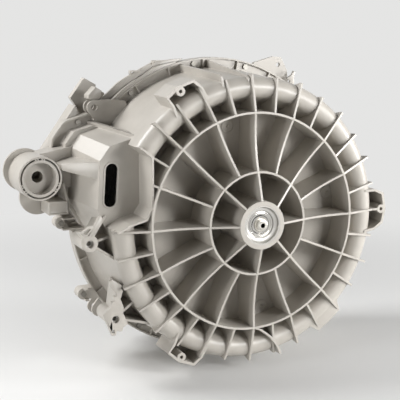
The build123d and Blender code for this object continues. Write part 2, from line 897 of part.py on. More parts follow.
# Bolts through the shell into the ends of the arms
with BuildPart() as spider_bolts:
    with BuildSketch(*arm_bolt_planes):
        RegularPolygon(arm_bolt_head, 6)
    extrude(amount=arm_bolt_radius)
    with BuildSketch(*arm_bolt_planes):
        Circle(arm_bolt_radius)
    extrude(amount=-arm_bolt_length)
finish(spider_bolts.part, "spider_bolts")


def box_outline(wall, inner_radius, foot):
    """Radius and side of a transit box's corners, drawn in by its wall."""
    return [
        (inner_radius, 1.25 * transit_half_width - wall),
        (tub_radius + 2, 1.25 * transit_half_width - wall),
        (transit_pitch_radius + 5 - wall, transit_half_width - 0.8 * wall),
        (transit_pitch_radius + transit_boss_radius + 2 - wall, 0),
        (transit_pitch_radius + 5 - wall, -0.9 * transit_half_width + 0.8 * wall),
        (tub_radius + 2, 0.9 * foot + wall),
        (inner_radius, foot + wall),
    ]


def transit_box(label, angle, mirror, foot):
    """Box for a transit bolt: bent outer wall with a boss on its inside, end walls and a far floor."""
    outside = box_outline(0, shoulder_centre[0], foot)
    hollow = box_outline(transit_wall, shoulder_centre[0] - transit_wall, foot)
    with BuildPart() as box:
        with BuildSketch(rear_plane(transit_y + transit_length)):
            outline([around(radius, mirror * side, angle) for radius, side in outside])
        extrude(amount=transit_length)
        with BuildSketch(rear_plane(transit_y + transit_length - transit_wall)):
            outline([around(radius, mirror * side, angle) for radius, side in hollow])
            with Locations(around(transit_pitch_radius, 0, angle)):
                Circle(transit_boss_radius, mode=Mode.SUBTRACT)
            if label == "transit_box_right":
                with Locations((tub_radius + transit_wall, 0)):
                    Rectangle(3 * transit_boss_radius, rib_thickness, mode=Mode.SUBTRACT)
        extrude(amount=transit_length, mode=Mode.SUBTRACT)
        with BuildSketch(rear_plane(transit_y + transit_length)):
            with Locations(around(transit_pitch_radius, 0, angle)):
                Circle(transit_hole_radius)
        extrude(amount=transit_length, mode=Mode.SUBTRACT)
        add(rear_form.part, mode=Mode.SUBTRACT)
        add(tub_rear.part, mode=Mode.SUBTRACT)
    finish(box.part, label)


transit_box("transit_box_right", 0, 1, transit_long_foot)
transit_box("transit_box_top", 120, -1, transit_foot)
transit_box("transit_box_bottom", -120, 1, transit_foot)


def motor_mount(label, angle, roots):
    """Lug for the motor: a long boss held off the wall by three deep webs."""
    centre = around(motor_pitch_radius, 0, angle)
    with BuildPart() as mount:
        with BuildSketch(rear_plane(motor_lug_y + motor_boss_length)):
            with Locations(centre):
                Circle(motor_boss_radius)
        extrude(amount=motor_boss_length)
        for root, root_y in roots:
            with BuildSketch(web_plane(centre, root)):
                outline(
                    [
                        (0, motor_lug_y + 3),
                        (hypot(root[0] - centre[0], root[1] - centre[1]), root_y),
                        (hypot(root[0] - centre[0], root[1] - centre[1]), root_y + motor_web_depth),
                        (0, motor_lug_y + motor_web_depth),
                    ]
                )
            extrude(amount=motor_web / 2, both=True)
        with BuildSketch(rear_plane(motor_lug_y + motor_web_depth)):
            outline([centre] + [root for root, root_y in roots])
        extrude(amount=motor_web)
        add(rear_form.part, mode=Mode.SUBTRACT)
        with BuildSketch(rear_plane(motor_lug_y + motor_boss_length)):
            with Locations(centre):
                Circle(motor_bush_radius)
        extrude(amount=motor_boss_length, mode=Mode.SUBTRACT)
        add(tub_rear.part, mode=Mode.SUBTRACT)
    finish(mount.part, f"motor_mount_{label}")
    with BuildPart() as bush:
        with BuildSketch(rear_plane(motor_lug_y + motor_boss_length)):
            with Locations(centre):
                Circle(motor_bush_radius)
                Circle(motor_bush_bore, mode=Mode.SUBTRACT)
        extrude(amount=motor_boss_length - motor_bush_recess)
    finish(bush.part, f"motor_bush_{label}")


motor_mount("upper", motor_upper_angle, motor_upper_roots)
motor_mount("lower", motor_lower_angle, motor_lower_roots)


def damper_clevis(label, pin, rear_y, gap, outer, strut):
    """Two ears on a pad for a damper's pin; the rear ear may carry a strut."""
    angle = degrees(atan2(pin[1], pin[0]))
    pin_radius = hypot(pin[0], pin[1])
    foot = front_radius - 8
    front_y = rear_y + 2 * damper_ear + gap
    with BuildPart() as clevis:
        for far_y in (rear_y + damper_ear, front_y):
            with BuildSketch(rear_plane(far_y)):
                outline(
                    [
                        around(foot, -damper_base / 2, angle),
                        around(foot, damper_base / 2, angle),
                        around(pin_radius + 2, damper_ear_radius - 0.2, angle),
                        around(pin_radius + 2, -damper_ear_radius + 0.2, angle),
                    ]
                )
                if far_y < front_y and strut:
                    outline(strut)
                with Locations(around(pin_radius, 0, angle)):
                    Circle(damper_ear_radius)
                    Circle(damper_pin_radius, mode=Mode.SUBTRACT)
            extrude(amount=damper_ear)
        with BuildSketch(rear_plane(front_y)):
            outline(
                [
                    around(foot, -damper_base / 2, angle),
                    around(foot, damper_base / 2, angle),
                    around(outer, damper_base / 2 - 4, angle),
                    around(outer, -damper_base / 2 + 4, angle),
                ]
            )
        extrude(amount=front_y - rear_y)
        for neighbour in (rear_form, front_form, tub_rear, tub_front, seam_gasket):
            add(neighbour.part, mode=Mode.SUBTRACT)
    finish(clevis.part, f"damper_clevis_{label}")


damper_clevis("upper", damper_upper_pin, upper_clevis_y, upper_gap, upper_pad_radius, strut_plate)
damper_clevis("lower", damper_lower_pin, clevis_rear_y, damper_gap, front_radius + 5, [])

# Bracket that stands up beside the upper clevis, on the front half
with BuildPart() as front_bracket:
    with BuildSketch(rear_plane(bracket_plate_y)):
        outline(bracket_plate)
        offset(amount=-bracket_wall, kind=Kind.INTERSECTION)
    extrude(amount=bracket_wall)
    with BuildSketch(rear_plane(bracket_plate_y + bracket_fold)):
        outline(bracket_plate)
        with BuildSketch(mode=Mode.PRIVATE) as hollow:
            outline(bracket_plate)
            offset(amount=-bracket_wall, kind=Kind.INTERSECTION)
        add(hollow.sketch, mode=Mode.SUBTRACT)
    extrude(amount=bracket_fold + bracket_wall)
    add(front_form.part, mode=Mode.SUBTRACT)
    add(tub_front.part, mode=Mode.SUBTRACT)
finish(front_bracket.part, "front_bracket")


def spring_ear(label, side):
    """Flat ear on the front half with the hole a suspension spring hooks into."""
    with BuildPart() as ear:
        with BuildSketch(rear_plane(spring_ear_y + spring_ear_thickness)):
            outline([(x, side * z) for x, z in spring_ear_corners])
            with Locations((spring_hole[0], side * spring_hole[1])):
                Circle(spring_hole_radius, mode=Mode.SUBTRACT)
        extrude(amount=spring_ear_thickness)
        add(front_form.part, mode=Mode.SUBTRACT)
        add(tub_front.part, mode=Mode.SUBTRACT)
    finish(ear.part, f"spring_ear_{label}")


spring_ear("upper", 1)
spring_ear("lower", -1)

# Drain outlet: cup with a bayonet ring, its plate at the seam, and the duct from the sump
with BuildPart() as drain_outlet:
    with BuildSketch(rear_plane(outlet_front_y)):
        with Locations(outlet_axis):
            Circle(outlet_radius)
    extrude(amount=outlet_front_y - outlet_rear_y)
    with BuildSketch(rear_plane(outlet_front_y)):
        for spot, radius in outlet_lobes:
            with Locations(spot):
                Circle(radius)
    extrude(amount=outlet_plate_thickness)
    with BuildSketch(rear_plane(outlet_front_y)):
        outline(outlet_duct)
    extrude(amount=outlet_front_y - outlet_duct_y)
    add(rear_form.part, mode=Mode.SUBTRACT)
    with BuildSketch(rear_plane(flange_front_y)):
        add(seam_shape(flange_width))
    extrude(amount=2 * flange_thickness + flange_rim_height, mode=Mode.SUBTRACT)
    with BuildSketch(rear_plane(drain_bore_y + outlet_throat_radius)):
        with Locations(outlet_axis):
            Circle(outlet_throat_radius)
    extrude(amount=drain_bore_y - outlet_rear_y, mode=Mode.SUBTRACT)
    with BuildSketch(rear_plane(outlet_rear_y + outlet_cup_depth)):
        with Locations(outlet_axis):
            Circle(outlet_cup_radius)
    extrude(amount=outlet_cup_depth, mode=Mode.SUBTRACT)
    with BuildSketch(rear_plane(outlet_rear_y + bayonet_depth)):
        with Locations(outlet_axis):
            Circle(bayonet_radius + bayonet_slot / 2)
            Circle(bayonet_radius - bayonet_slot / 2, mode=Mode.SUBTRACT)
        for angle in bayonet_bridges:
            x, z = around(bayonet_radius, 0, angle)
            with Locations(Location((outlet_axis[0] + x, outlet_axis[1] + z, 0), (0, 0, angle))):
                Rectangle(2 * bayonet_slot, bayonet_bridge, mode=Mode.SUBTRACT)
    extrude(amount=bayonet_depth, mode=Mode.SUBTRACT)
    with BuildSketch(drain_plane):
        Circle(outlet_throat_radius)
    extrude(amount=-outlet_axis[0] + sump_inner_x, mode=Mode.SUBTRACT)
finish(drain_outlet.part, "drain_outlet")
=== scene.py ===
"""Washing machine drum assembly: its finishes, its finer pieces and the stage it stands on."""
import json
from math import atan2, cos, pi, radians, sin

import bmesh
import bpy
from mathutils import Matrix, Vector


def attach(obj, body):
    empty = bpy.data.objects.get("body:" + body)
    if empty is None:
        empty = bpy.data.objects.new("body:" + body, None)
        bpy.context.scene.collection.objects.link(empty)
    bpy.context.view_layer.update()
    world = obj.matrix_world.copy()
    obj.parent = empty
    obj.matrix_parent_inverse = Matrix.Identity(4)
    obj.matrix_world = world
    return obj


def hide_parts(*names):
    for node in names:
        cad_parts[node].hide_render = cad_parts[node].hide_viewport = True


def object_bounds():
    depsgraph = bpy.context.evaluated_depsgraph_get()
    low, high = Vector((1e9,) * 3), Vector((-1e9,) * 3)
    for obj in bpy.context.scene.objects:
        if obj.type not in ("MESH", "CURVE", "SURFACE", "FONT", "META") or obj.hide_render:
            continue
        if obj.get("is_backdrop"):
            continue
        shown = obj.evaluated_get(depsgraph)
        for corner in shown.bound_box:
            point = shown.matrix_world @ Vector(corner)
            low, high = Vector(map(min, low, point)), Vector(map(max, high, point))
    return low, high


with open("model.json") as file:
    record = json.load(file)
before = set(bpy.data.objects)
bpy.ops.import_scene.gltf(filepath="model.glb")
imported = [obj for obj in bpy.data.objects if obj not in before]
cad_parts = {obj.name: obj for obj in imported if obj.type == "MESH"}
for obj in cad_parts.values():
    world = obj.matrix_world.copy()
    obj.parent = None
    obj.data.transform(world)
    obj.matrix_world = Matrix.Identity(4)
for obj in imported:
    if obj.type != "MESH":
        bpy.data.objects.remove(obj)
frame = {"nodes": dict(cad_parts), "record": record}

bl_info = {
    "name": "Washing machine drum assembly",
    "version": (1, 0, 0),
    "blender": (4, 5, 0),
    "location": "View3D > Sidebar > Drum",
    "description": "Gives the packed drum assembly its finishes, finer pieces and stage",
    "category": "Object",
}

MM = 0.001
SLOT_OF = {part["node"]: part["material_slot"] for part in frame["record"]["subparts"]}

# The camera as the photograph was taken: turned round Z from straight behind and raised, in degrees,
# then its distance and its shifts in metres, and its lens in millimetres
CAMERA_TURN = -23.91
CAMERA_RISE = 10.87
CAMERA_DISTANCE = 1.99298
CAMERA_RIGHT = -0.1133
CAMERA_UP = 0.04634
CAMERA_LENS = 99.0
SENSOR_WIDTH = 36.0

# Soft lights: name, place and side in metres. Each one's power is the setting of the same name
LIGHTS = (
    ("right", (1.885, -0.879, 0.292), 0.7),
    ("near", (1.014, -1.757, 0.544), 0.7),
    ("left", (-2.048, -0.361, 0.292), 0.7),
    ("far", (-1.278, 0.895, 1.405), 0.9),
)

# Pale background, and the reach in metres up to which the floor is lit and from which it is background
BACKGROUND_TONE = "F2F2F1"
BACKGROUND_STRENGTH = 0.88
FLOOR_LIT_TO = 0.45
FLOOR_PLAIN_FROM = 1.5

# Second tone of the floor's paint and of the lifters' plastic, as a share of the first
FLOOR_SHADE = 0.97
LIFTER_SHADE = 0.93

# Angle between faces, in degrees, up to which an edge looks round
SMOOTH_UP_TO = 32.0

# Vertices closer than this, in metres, are merged
MERGE_WITHIN = 1e-5

# From here on sizes are millimetres. Edge radii: drawn by the material, on the plates and thin pieces, on
# the hollow wall and on the wedge
EDGE_ROUND = 0.9
PLATE_EDGE = 0.8
WALL_EDGE = 0.7
WEDGE_EDGE = 2.0

# Turned pieces of the hub, each as radius and Y. The sleeve's lip stands level with the hub's rim
SLEEVE_PROFILE = (
    (26.0, 7.6), (27.2, 7.0), (31.4, 7.0), (32.6, 5.8), (33.4, 1.2), (34.2, 0.4), (36.0, 0.4), (36.0, 109.0),
    (33.0, 109.0), (33.0, 98.0), (31.0, 98.0), (31.0, 82.0), (22.5, 82.0), (22.5, 23.0), (26.0, 23.0),
)
OUTER_RING_PROFILE = (
    (26.0, 9.2), (25.0, 8.2), (24.3, 8.0), (22.6, 8.0), (21.95, 8.6), (23.0, 12.5), (23.4, 15.5),
    (23.0, 18.5), (21.95, 22.4), (22.6, 23.0), (25.0, 23.0), (26.0, 22.0),
)
INNER_RING_PROFILE = (
    (12.5, 9.2), (13.6, 8.0), (15.9, 8.0), (16.5, 8.6), (15.5, 12.5), (15.1, 15.5), (15.5, 18.5),
    (16.5, 22.4), (15.9, 23.0), (13.5, 23.0), (12.5, 22.0),
)
SHIELD_PROFILE = (
    (21.8, 8.5), (21.2, 8.4), (20.5, 9.1), (17.9, 9.1), (17.1, 9.8), (17.1, 10.2), (18.1, 9.5), (20.7, 9.5),
    (21.3, 8.9), (21.8, 8.9),
)
SHAFT_PROFILE = (
    (4.25, 20.0), (4.25, -2.2), (5.0, -3.0), (6.6, -3.0), (8.4, -1.4), (8.4, -0.6), (10.0, 0.0), (10.0, 7.4),
    (10.6, 8.0), (12.5, 8.0), (12.5, 38.0), (15.0, 40.0), (15.0, 113.0), (16.4, 113.0), (17.0, 113.6),
    (17.0, 149.4), (16.4, 150.0),
)
# Thread in the shaft's bore, drawn as a thin closed sleeve: Y of its innermost crest, its pitch and turns,
# the radii of its crests, roots and back, and the Y where the back ends and where the sleeve is closed
THREAD_START = 18.5
THREAD_PITCH = 1.5
THREAD_TURNS = 13
THREAD_CREST = 3.75
THREAD_ROOT = 4.15
THREAD_BACK = 4.24
THREAD_BACK_END = 19.0
THREAD_TIP = 19.4

# Plates lie in X and Z. DEPTHS are the Y of a plate's rear and front

# Faces of the motor lugs, each with the hole over its bush, and the holder for a cable by the upper one
LUG_FACE_DEPTHS = (61.0, 69.0)
LUG_HOLE_RADIUS = 7.0
LUG_HOLE_SIDES = 32
LOWER_LUG_HOLE = (-262.0, -161.8)
LOWER_LUG_FACE = (
    (-272.1, -90.2), (-267.7, -87.5), (-249.4, -100.3), (-251.2, -105.0), (-247.5, -110.4),
    (-252.5, -124.7), (-246.6, -140.3), (-247.5, -152.0), (-239.5, -172.8), (-247.8, -178.4),
    (-249.9, -185.5), (-260.5, -183.5), (-262.0, -191.5), (-269.5, -191.5), (-286.0, -151.0),
    (-278.7, -143.0), (-270.9, -137.4), (-261.6, -123.6), (-260.4, -113.9), (-272.3, -100.0),
)
LOWER_LUG_GAP = ((-281.0, -155.5), (-268.5, -186.5), (-265.0, -187.5), (-264.6, -181.5), (-274.0, -174.5))
UPPER_LUG_HOLE = (-307.4, -19.3)
UPPER_LUG_FACE = (
    (-285.6, 29.6), (-283.5, 21.4), (-285.9, 16.8), (-299.0, -4.5), (-293.9, -11.3), (-292.6, -19.4),
    (-295.5, -29.0), (-303.0, -34.0), (-314.0, -32.8), (-322.0, -24.0), (-323.4, -13.3), (-320.7, -8.8),
    (-331.8, 4.9), (-326.2, 5.4), (-322.1, -0.1), (-314.8, -4.6), (-309.0, -3.0), (-290.6, 28.4),
)
HOLDER_DEPTHS = (60.0, 67.0)
CABLE_HOLDER = ((-324.0, 2.6), (-309.5, 13.2), (-300.5, 13.2), (-301.5, 8.0), (-314.5, -6.0))
CABLE_HOLDER_GAP = ((-320.0, 2.2), (-309.6, 9.6), (-306.8, 9.0), (-306.6, 7.4), (-315.4, -2.2))

# Lobe of the seam flange above the sump with the step behind it, and the hook beside the spring ear
LOBE_DEPTHS = (240.0, 246.0)
FLANGE_LOBE = (
    (-53.3, 288.5), (-74.3, 288.0), (-95.1, 285.9), (-119.2, 282.4), (-131.3, 276.7), (-148.4, 268.6),
    (-163.7, 260.2), (-177.9, 252.8), (-192.5, 243.8), (-201.0, 235.6), (-214.5, 224.1), (-224.5, 216.0),
    (-214.0, 190.0), (-186.0, 217.0), (-152.0, 242.0), (-116.0, 261.0), (-78.0, 275.0),
)
STEP_DEPTHS = (231.0, 240.0)
FLANGE_STEP = (
    (-70.0, 284.0), (-102.1, 279.0), (-115.9, 274.6), (-141.7, 259.0), (-163.8, 247.0), (-184.3, 232.4),
    (-202.9, 216.7), (-214.0, 190.0), (-186.0, 217.0), (-152.0, 242.0), (-116.0, 261.0), (-78.0, 275.0),
)
HOOK_DEPTHS = (236.0, 241.0)
FLANGE_HOOK = (
    (172.0, 243.0), (184.0, 250.0), (188.0, 258.0), (193.5, 255.0), (189.5, 246.0), (191.0, 234.0),
    (184.0, 219.0), (174.0, 227.0), (181.0, 238.0),
)

# Block beside the upper damper bracket, and the rib below the outlet
BLOCK_DEPTHS = (226.0, 252.0)
CLEVIS_BLOCK = ((-252.0, 219.0), (-251.7, 226.0), (-237.0, 241.0), (-224.5, 233.0), (-232.0, 214.0))
RIB_DEPTHS = (178.0, 232.0)
OUTLET_RIB = ((-319.5, 72.0), (-316.0, 72.5), (-307.0, 34.0), (-308.0, 20.0), (-312.0, 20.0), (-312.0, 34.0))

# Slanting wall of the front half between the bracket and the outlet, its thickness and its hollow's depth
WALL_DEPTHS = (246.5, 286.0)
SLANT_WALL = (
    (-271.5, 205.9), (-334.4, 118.8), (-316.0, 108.0), (-303.0, 140.0), (-284.0, 160.0), (-252.0, 176.0),
)
WALL_THICKNESS = 2.6
WALL_HOLLOW = 36.5

# Cable pins on the lower lug's arm: a post, a neck set in from it that flares out again, and a head
PIN_SPOTS = ((-263.0, -121.0), (-268.5, -131.0))
PIN_Y = 63.0
PIN_SIDES = 20
PIN_RADIUS = 3.2
PIN_POST = 9.0
PIN_NECK_STEP = 0.9
PIN_FLARE = 2.0
PIN_FLARE_RATIO = 2.0
PIN_HEAD = 2.5

# Tabs on the flange's lobe: length, width and thickness, and how far the lip at their end turns down
TAB_SPOTS = ((-107.0, 285.3), (-152.5, 267.3))
TAB_Y = 241.0
TAB_SIZE = (18.0, 11.0, 2.8)
TAB_LIP = 5.0

# Corners in X, Y and Z of the wedge between the sump and the outlet: the four at the rear, then the four
# at the front, and in each four the lower and the upper one on the right, then those on the left
DUCT_WEDGE = (
    (-273.5, 101.0, 86.0), (-273.5, 101.0, 119.0), (-328.0, 163.0, 99.0), (-328.0, 163.0, 110.0),
    (-292.0, 196.5, 86.0), (-292.0, 196.5, 119.0), (-328.0, 196.5, 99.0), (-328.0, 196.5, 110.0),
)

# Block below the outlet: its middle, its size, and the width of its rim and the depth inside it
OUTLET_BLOCK_MIDDLE = (-328.0, 205.0, 26.0)
OUTLET_BLOCK_SIZE = (38.0, 54.0, 25.0)
OUTLET_BLOCK_RIM = 3.0
OUTLET_BLOCK_SINK = 3.0

# Ejector marks on the back in X and Z, the sections of their ring and stub as radius and Y, and the radius
# and Y of the back's sloping floor at the hub and at the ring wall
MARK_SPOTS = ((186.7, 31.4), (46.8, -181.1), (-26.8, 171.7))
MARK_RING = ((12.6, 0.3), (12.6, -1.1), (11.2, -1.1), (11.2, 0.3))
MARK_STUB = ((2.4, 0.3), (2.2, -1.6), (1.4, -2.4))
MARK_RING_SIDES = 48
MARK_STUB_SIDES = 24
FLOOR_HUB = (46.0, 104.0)
FLOOR_RING = (202.0, 92.0)

# Drum shell: its middle radius, its ends, the sheet's thickness and the sides of a drain hole
SHELL_MIDDLE = 239.4
SHELL_REAR = 108.0
SHELL_FRONT = 336.0
SHEET_THICKNESS = 1.2
HOLE_SIDES = 8

# Drum's rear sheet: its section as radius and Y, and its pressed panels' inner and outer radius, edge,
# depth, and how many of the sheet's sides lie from one panel to the next
BACK_PROFILE = (
    (12.0, 158.5), (40.0, 158.5), (62.0, 157.2), (190.0, 149.2), (205.5, 148.2), (232.5, 139.2),
    (238.8, 135.2), (238.8, 110.0), (237.6, 110.0), (237.6, 134.0), (232.0, 138.0), (205.0, 147.0),
    (40.0, 157.3), (12.0, 157.3),
)
PANEL_REACH = (62.0, 190.0)
PANEL_EDGE = 4.0
PANEL_DEPTH = 2.6
PANEL_SIDES = 6


def linear(code):
    """Linear colour of an sRGB hex value."""
    parts = [int(code[place:place + 2], 16) / 255 for place in (0, 2, 4)]
    return tuple(part / 12.92 if part <= 0.04045 else ((part + 0.055) / 1.055) ** 2.4 for part in parts)


def opaque(colour):
    """Colour with a full alpha, as a node's socket wants it."""
    return (colour[0], colour[1], colour[2], 1.0)


def per_mm(size):
    """Scale of a noise whose features are this many millimetres across, on coordinates in metres."""
    return 1.0 / (size * MM)


def add_node(tree, kind, inputs=None, **settings):
    """Add a node, set its settings, and give each named input a value or a link."""
    node = tree.nodes.new(kind)
    for name, value in settings.items():
        setattr(node, name, value)
    for key, value in (inputs or {}).items():
        if isinstance(value, bpy.types.NodeSocket):
            tree.links.new(value, node.inputs[key])
        else:
            node.inputs[key].default_value = value
    return node


def new_material(name):
    """Empty node material with its output."""
    material = bpy.data.materials.new(name)
    material.use_nodes = True
    material.node_tree.nodes.clear()
    output = material.node_tree.nodes.new("ShaderNodeOutputMaterial")
    return material, material.node_tree, output


def give(material, slot):
    """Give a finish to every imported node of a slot."""
    found = 0
    for name, node in frame["nodes"].items():
        if SLOT_OF[name] == slot:
            node.data.materials.clear()
            node.data.materials.append(material)
            found += 1
    if not found:
        raise RuntimeError(f"no node has the slot {slot}")


def moulded_plastic(name, tint, shade, roughness, cloud_mm, grain_mm, grain_depth):
    """Injection moulded plastic: a faint cloudiness from its filler, and a fine satin grain."""
    material, tree, output = new_material(name)
    place = add_node(tree, "ShaderNodeTexCoord")
    cloud = add_node(
        tree, "ShaderNodeTexNoise",
        {"Vector": place.outputs["Object"], "Scale": per_mm(cloud_mm), "Detail": 4.0, "Roughness": 0.6},
    )
    speck = add_node(
        tree, "ShaderNodeTexNoise",
        {"Vector": place.outputs["Object"], "Scale": per_mm(grain_mm), "Detail": 3.0, "Roughness": 0.7},
    )
    blend = add_node(
        tree, "ShaderNodeMapRange",
        {"Value": cloud.outputs["Fac"], "From Min": 0.3, "From Max": 0.7, "To Min": 0.0, "To Max": 1.0},
    )
    colour = add_node(
        tree, "ShaderNodeMix",
        {"Factor": blend.outputs["Result"], "A": opaque(tint), "B": opaque(shade)},
        data_type="RGBA",
    )
    gloss = add_node(
        tree, "ShaderNodeMapRange",
        {
            "Value": speck.outputs["Fac"], "From Min": 0.25, "From Max": 0.75,
            "To Min": roughness - 0.06, "To Max": roughness + 0.08,
        },
    )
    edge = add_node(tree, "ShaderNodeBevel", {"Radius": EDGE_ROUND * MM}, samples=4)
    bump = add_node(
        tree, "ShaderNodeBump",
        {
            "Height": speck.outputs["Fac"], "Strength": 0.5, "Distance": grain_depth * MM,
            "Normal": edge.outputs["Normal"],
        },
    )
    shader = add_node(
        tree, "ShaderNodeBsdfPrincipled",
        {
            "Base Color": colour.outputs["Result"], "Roughness": gloss.outputs["Result"],
            "IOR": 1.49, "Normal": bump.outputs["Normal"],
        },
    )
    tree.links.new(shader.outputs["BSDF"], output.inputs["Surface"])
    return material


def worked_metal(name, tint, shade, roughness, spread, line_mm, cloud_mm, depth):
    """Metal with tool marks round the drum's axis, drawn out so thin that they only streak the shine."""
    material, tree, output = new_material(name)
    place = add_node(tree, "ShaderNodeTexCoord")
    axes = add_node(tree, "ShaderNodeSeparateXYZ", {"Vector": place.outputs["Object"]})
    flat = add_node(
        tree, "ShaderNodeCombineXYZ",
        {"X": axes.outputs["X"], "Y": 0.0, "Z": axes.outputs["Z"]},
    )
    reach = add_node(tree, "ShaderNodeVectorMath", {0: flat.outputs["Vector"]}, operation="LENGTH")
    lathe = add_node(
        tree, "ShaderNodeCombineXYZ",
        {"X": reach.outputs["Value"], "Y": axes.outputs["Y"], "Z": 0.0},
    )
    lines = add_node(
        tree, "ShaderNodeTexNoise",
        {"Vector": lathe.outputs["Vector"], "Scale": per_mm(line_mm), "Detail": 2.0, "Roughness": 0.5},
    )
    cloud = add_node(
        tree, "ShaderNodeTexNoise",
        {"Vector": place.outputs["Object"], "Scale": per_mm(cloud_mm), "Detail": 4.0, "Roughness": 0.6},
    )
    colour = add_node(
        tree, "ShaderNodeMix",
        {"Factor": cloud.outputs["Fac"], "A": opaque(tint), "B": opaque(shade)},
        data_type="RGBA",
    )
    gloss = add_node(
        tree, "ShaderNodeMapRange",
        {
            "Value": lines.outputs["Fac"], "From Min": 0.3, "From Max": 0.7,
            "To Min": roughness, "To Max": roughness + spread,
        },
    )
    bump = add_node(
        tree, "ShaderNodeBump",
        {"Height": lines.outputs["Fac"], "Strength": 0.4, "Distance": depth * MM},
    )
    shader = add_node(
        tree, "ShaderNodeBsdfPrincipled",
        {
            "Base Color": colour.outputs["Result"], "Metallic": 1.0,
            "Roughness": gloss.outputs["Result"], "Normal": bump.outputs["Normal"],
        },
    )
    tree.links.new(shader.outputs["BSDF"], output.inputs["Surface"])
    return material


def grained_metal(name, tint, shade, roughness, spread, grain_mm, depth):
    """Metal with an even grain, as plating or casting leaves it."""
    material, tree, output = new_material(name)
    place = add_node(tree, "ShaderNodeTexCoord")
    grain = add_node(
        tree, "ShaderNodeTexNoise",
        {"Vector": place.outputs["Object"], "Scale": per_mm(grain_mm), "Detail": 5.0, "Roughness": 0.65},
    )
    colour = add_node(
        tree, "ShaderNodeMix",
        {"Factor": grain.outputs["Fac"], "A": opaque(tint), "B": opaque(shade)},
        data_type="RGBA",
    )
    gloss = add_node(
        tree, "ShaderNodeMapRange",
        {
            "Value": grain.outputs["Fac"], "From Min": 0.3, "From Max": 0.7,
            "To Min": roughness, "To Max": roughness + spread,
        },
    )
    bump = add_node(
        tree, "ShaderNodeBump",
        {"Height": grain.outputs["Fac"], "Strength": 0.5, "Distance": depth * MM},
    )
    shader = add_node(
        tree, "ShaderNodeBsdfPrincipled",
        {
            "Base Color": colour.outputs["Result"], "Metallic": 1.0,
            "Roughness": gloss.outputs["Result"], "Normal": bump.outputs["Normal"],
        },
    )
    tree.links.new(shader.outputs["BSDF"], output.inputs["Surface"])
    return material


def finish_piece(piece, name, material, body):
    """Name a finished piece, smooth its round faces, and give it its material and body."""
    piece.name = name
    piece.data.name = name
    bpy.ops.object.select_all(action="DESELECT")
    piece.select_set(True)
    bpy.context.view_layer.objects.active = piece
    bpy.ops.object.transform_apply(location=True, rotation=True, scale=True)
    bpy.ops.object.mode_set(mode="EDIT")
    bpy.ops.mesh.select_all(action="SELECT")
    bpy.ops.mesh.normals_make_consistent(inside=False)
    bpy.ops.object.mode_set(mode="OBJECT")
    bpy.ops.object.shade_smooth_by_angle(angle=radians(SMOOTH_UP_TO))
    piece.data.materials.clear()
    piece.data.materials.append(material)
    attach(piece, body)


def start_turning(radius, place, sides):
    """Add a circle of edges round the drum's axis and leave it selected in edit mode."""
    bpy.ops.object.select_all(action="DESELECT")
    bpy.ops.mesh.primitive_circle_add(
        vertices=sides, radius=radius * MM, fill_type="NOTHING",
        location=(0, place * MM, 0), rotation=(radians(90), 0, 0),
    )
    piece = bpy.context.object
    bpy.ops.object.transform_apply(location=True, rotation=True, scale=True)
    bpy.ops.object.mode_set(mode="EDIT")
    bpy.ops.mesh.select_mode(type="EDGE")
    bpy.ops.mesh.select_all(action="SELECT")
    return piece


def turn_profile(profile, sides, closing):
    """Draw one circle out along a profile of radius and Y, then join its ends into a ring or cap them."""
    radius, place = profile[0]
    piece = start_turning(radius, place, sides)
    for next_radius, next_place in profile[1:]:
        bpy.ops.mesh.extrude_region_move(
            TRANSFORM_OT_translate={"value": (0, (next_place - place) * MM, 0)}
        )
        ratio = next_radius / radius
        bpy.ops.transform.resize(value=(ratio, 1, ratio), center_override=(0, 0, 0))
        radius, place = next_radius, next_place
    bpy.ops.mesh.select_all(action="DESELECT")
    bpy.ops.mesh.select_non_manifold()
    if closing == "ring":
        bpy.ops.mesh.bridge_edge_loops()
    else:
        bpy.ops.mesh.fill_holes(sides=0)
    bpy.ops.object.mode_set(mode="OBJECT")
    return piece


def select_faces(piece, wanted):
    """Select the faces that a test wants, and no others, in edit mode."""
    mesh = bmesh.from_edit_mesh(piece.data)
    mesh.normal_update()
    for face in mesh.faces:
        face.select_set(False)
    for face in mesh.faces:
        if wanted(face):
            face.select_set(True)
    bmesh.update_edit_mesh(piece.data)


def edit_faces():
    """Go into edit mode, to work on faces."""
    bpy.ops.object.mode_set(mode="EDIT")
    bpy.ops.mesh.select_mode(type="FACE")


def push_faces(x=0.0, y=0.0, z=0.0):
    """Extrude the selected faces by this many millimetres along each axis."""
    bpy.ops.mesh.extrude_region_move(TRANSFORM_OT_translate={"value": (x * MM, y * MM, z * MM)})


def soften(piece, radius):
    """Round a piece's sharp edges by this many millimetres."""
    bpy.ops.object.select_all(action="DESELECT")
    piece.select_set(True)
    bpy.context.view_layer.objects.active = piece
    edges = piece.modifiers.new("edges", "BEVEL")
    edges.width = radius * MM
    edges.segments = 2
    edges.limit_method = "ANGLE"
    bpy.ops.object.modifier_apply(modifier="edges")


def copy_of(piece):
    """Copy a piece with a mesh of its own."""
    copy = piece.copy()
    copy.data = piece.data.copy()
    bpy.context.collection.objects.link(copy)
    return copy


def remove(piece):
    """Delete a piece that was only copied from."""
    bpy.data.objects.remove(piece, do_unlink=True)


def ring_of(middle, radius, sides):
    """Corners of a round opening in X and Z."""
    turns = [2 * pi * side / sides for side in range(sides)]
    return [(middle[0] + radius * cos(turn), middle[1] + radius * sin(turn)) for turn in turns]


def add_box(middle, size):
    """Add a box by its middle and its size."""
    bpy.ops.object.select_all(action="DESELECT")
    bpy.ops.mesh.primitive_cube_add(
        size=1.0, location=[part * MM for part in middle], scale=[part * MM for part in size],
    )
    bpy.ops.object.transform_apply(location=True, rotation=True, scale=True)
    return bpy.context.object


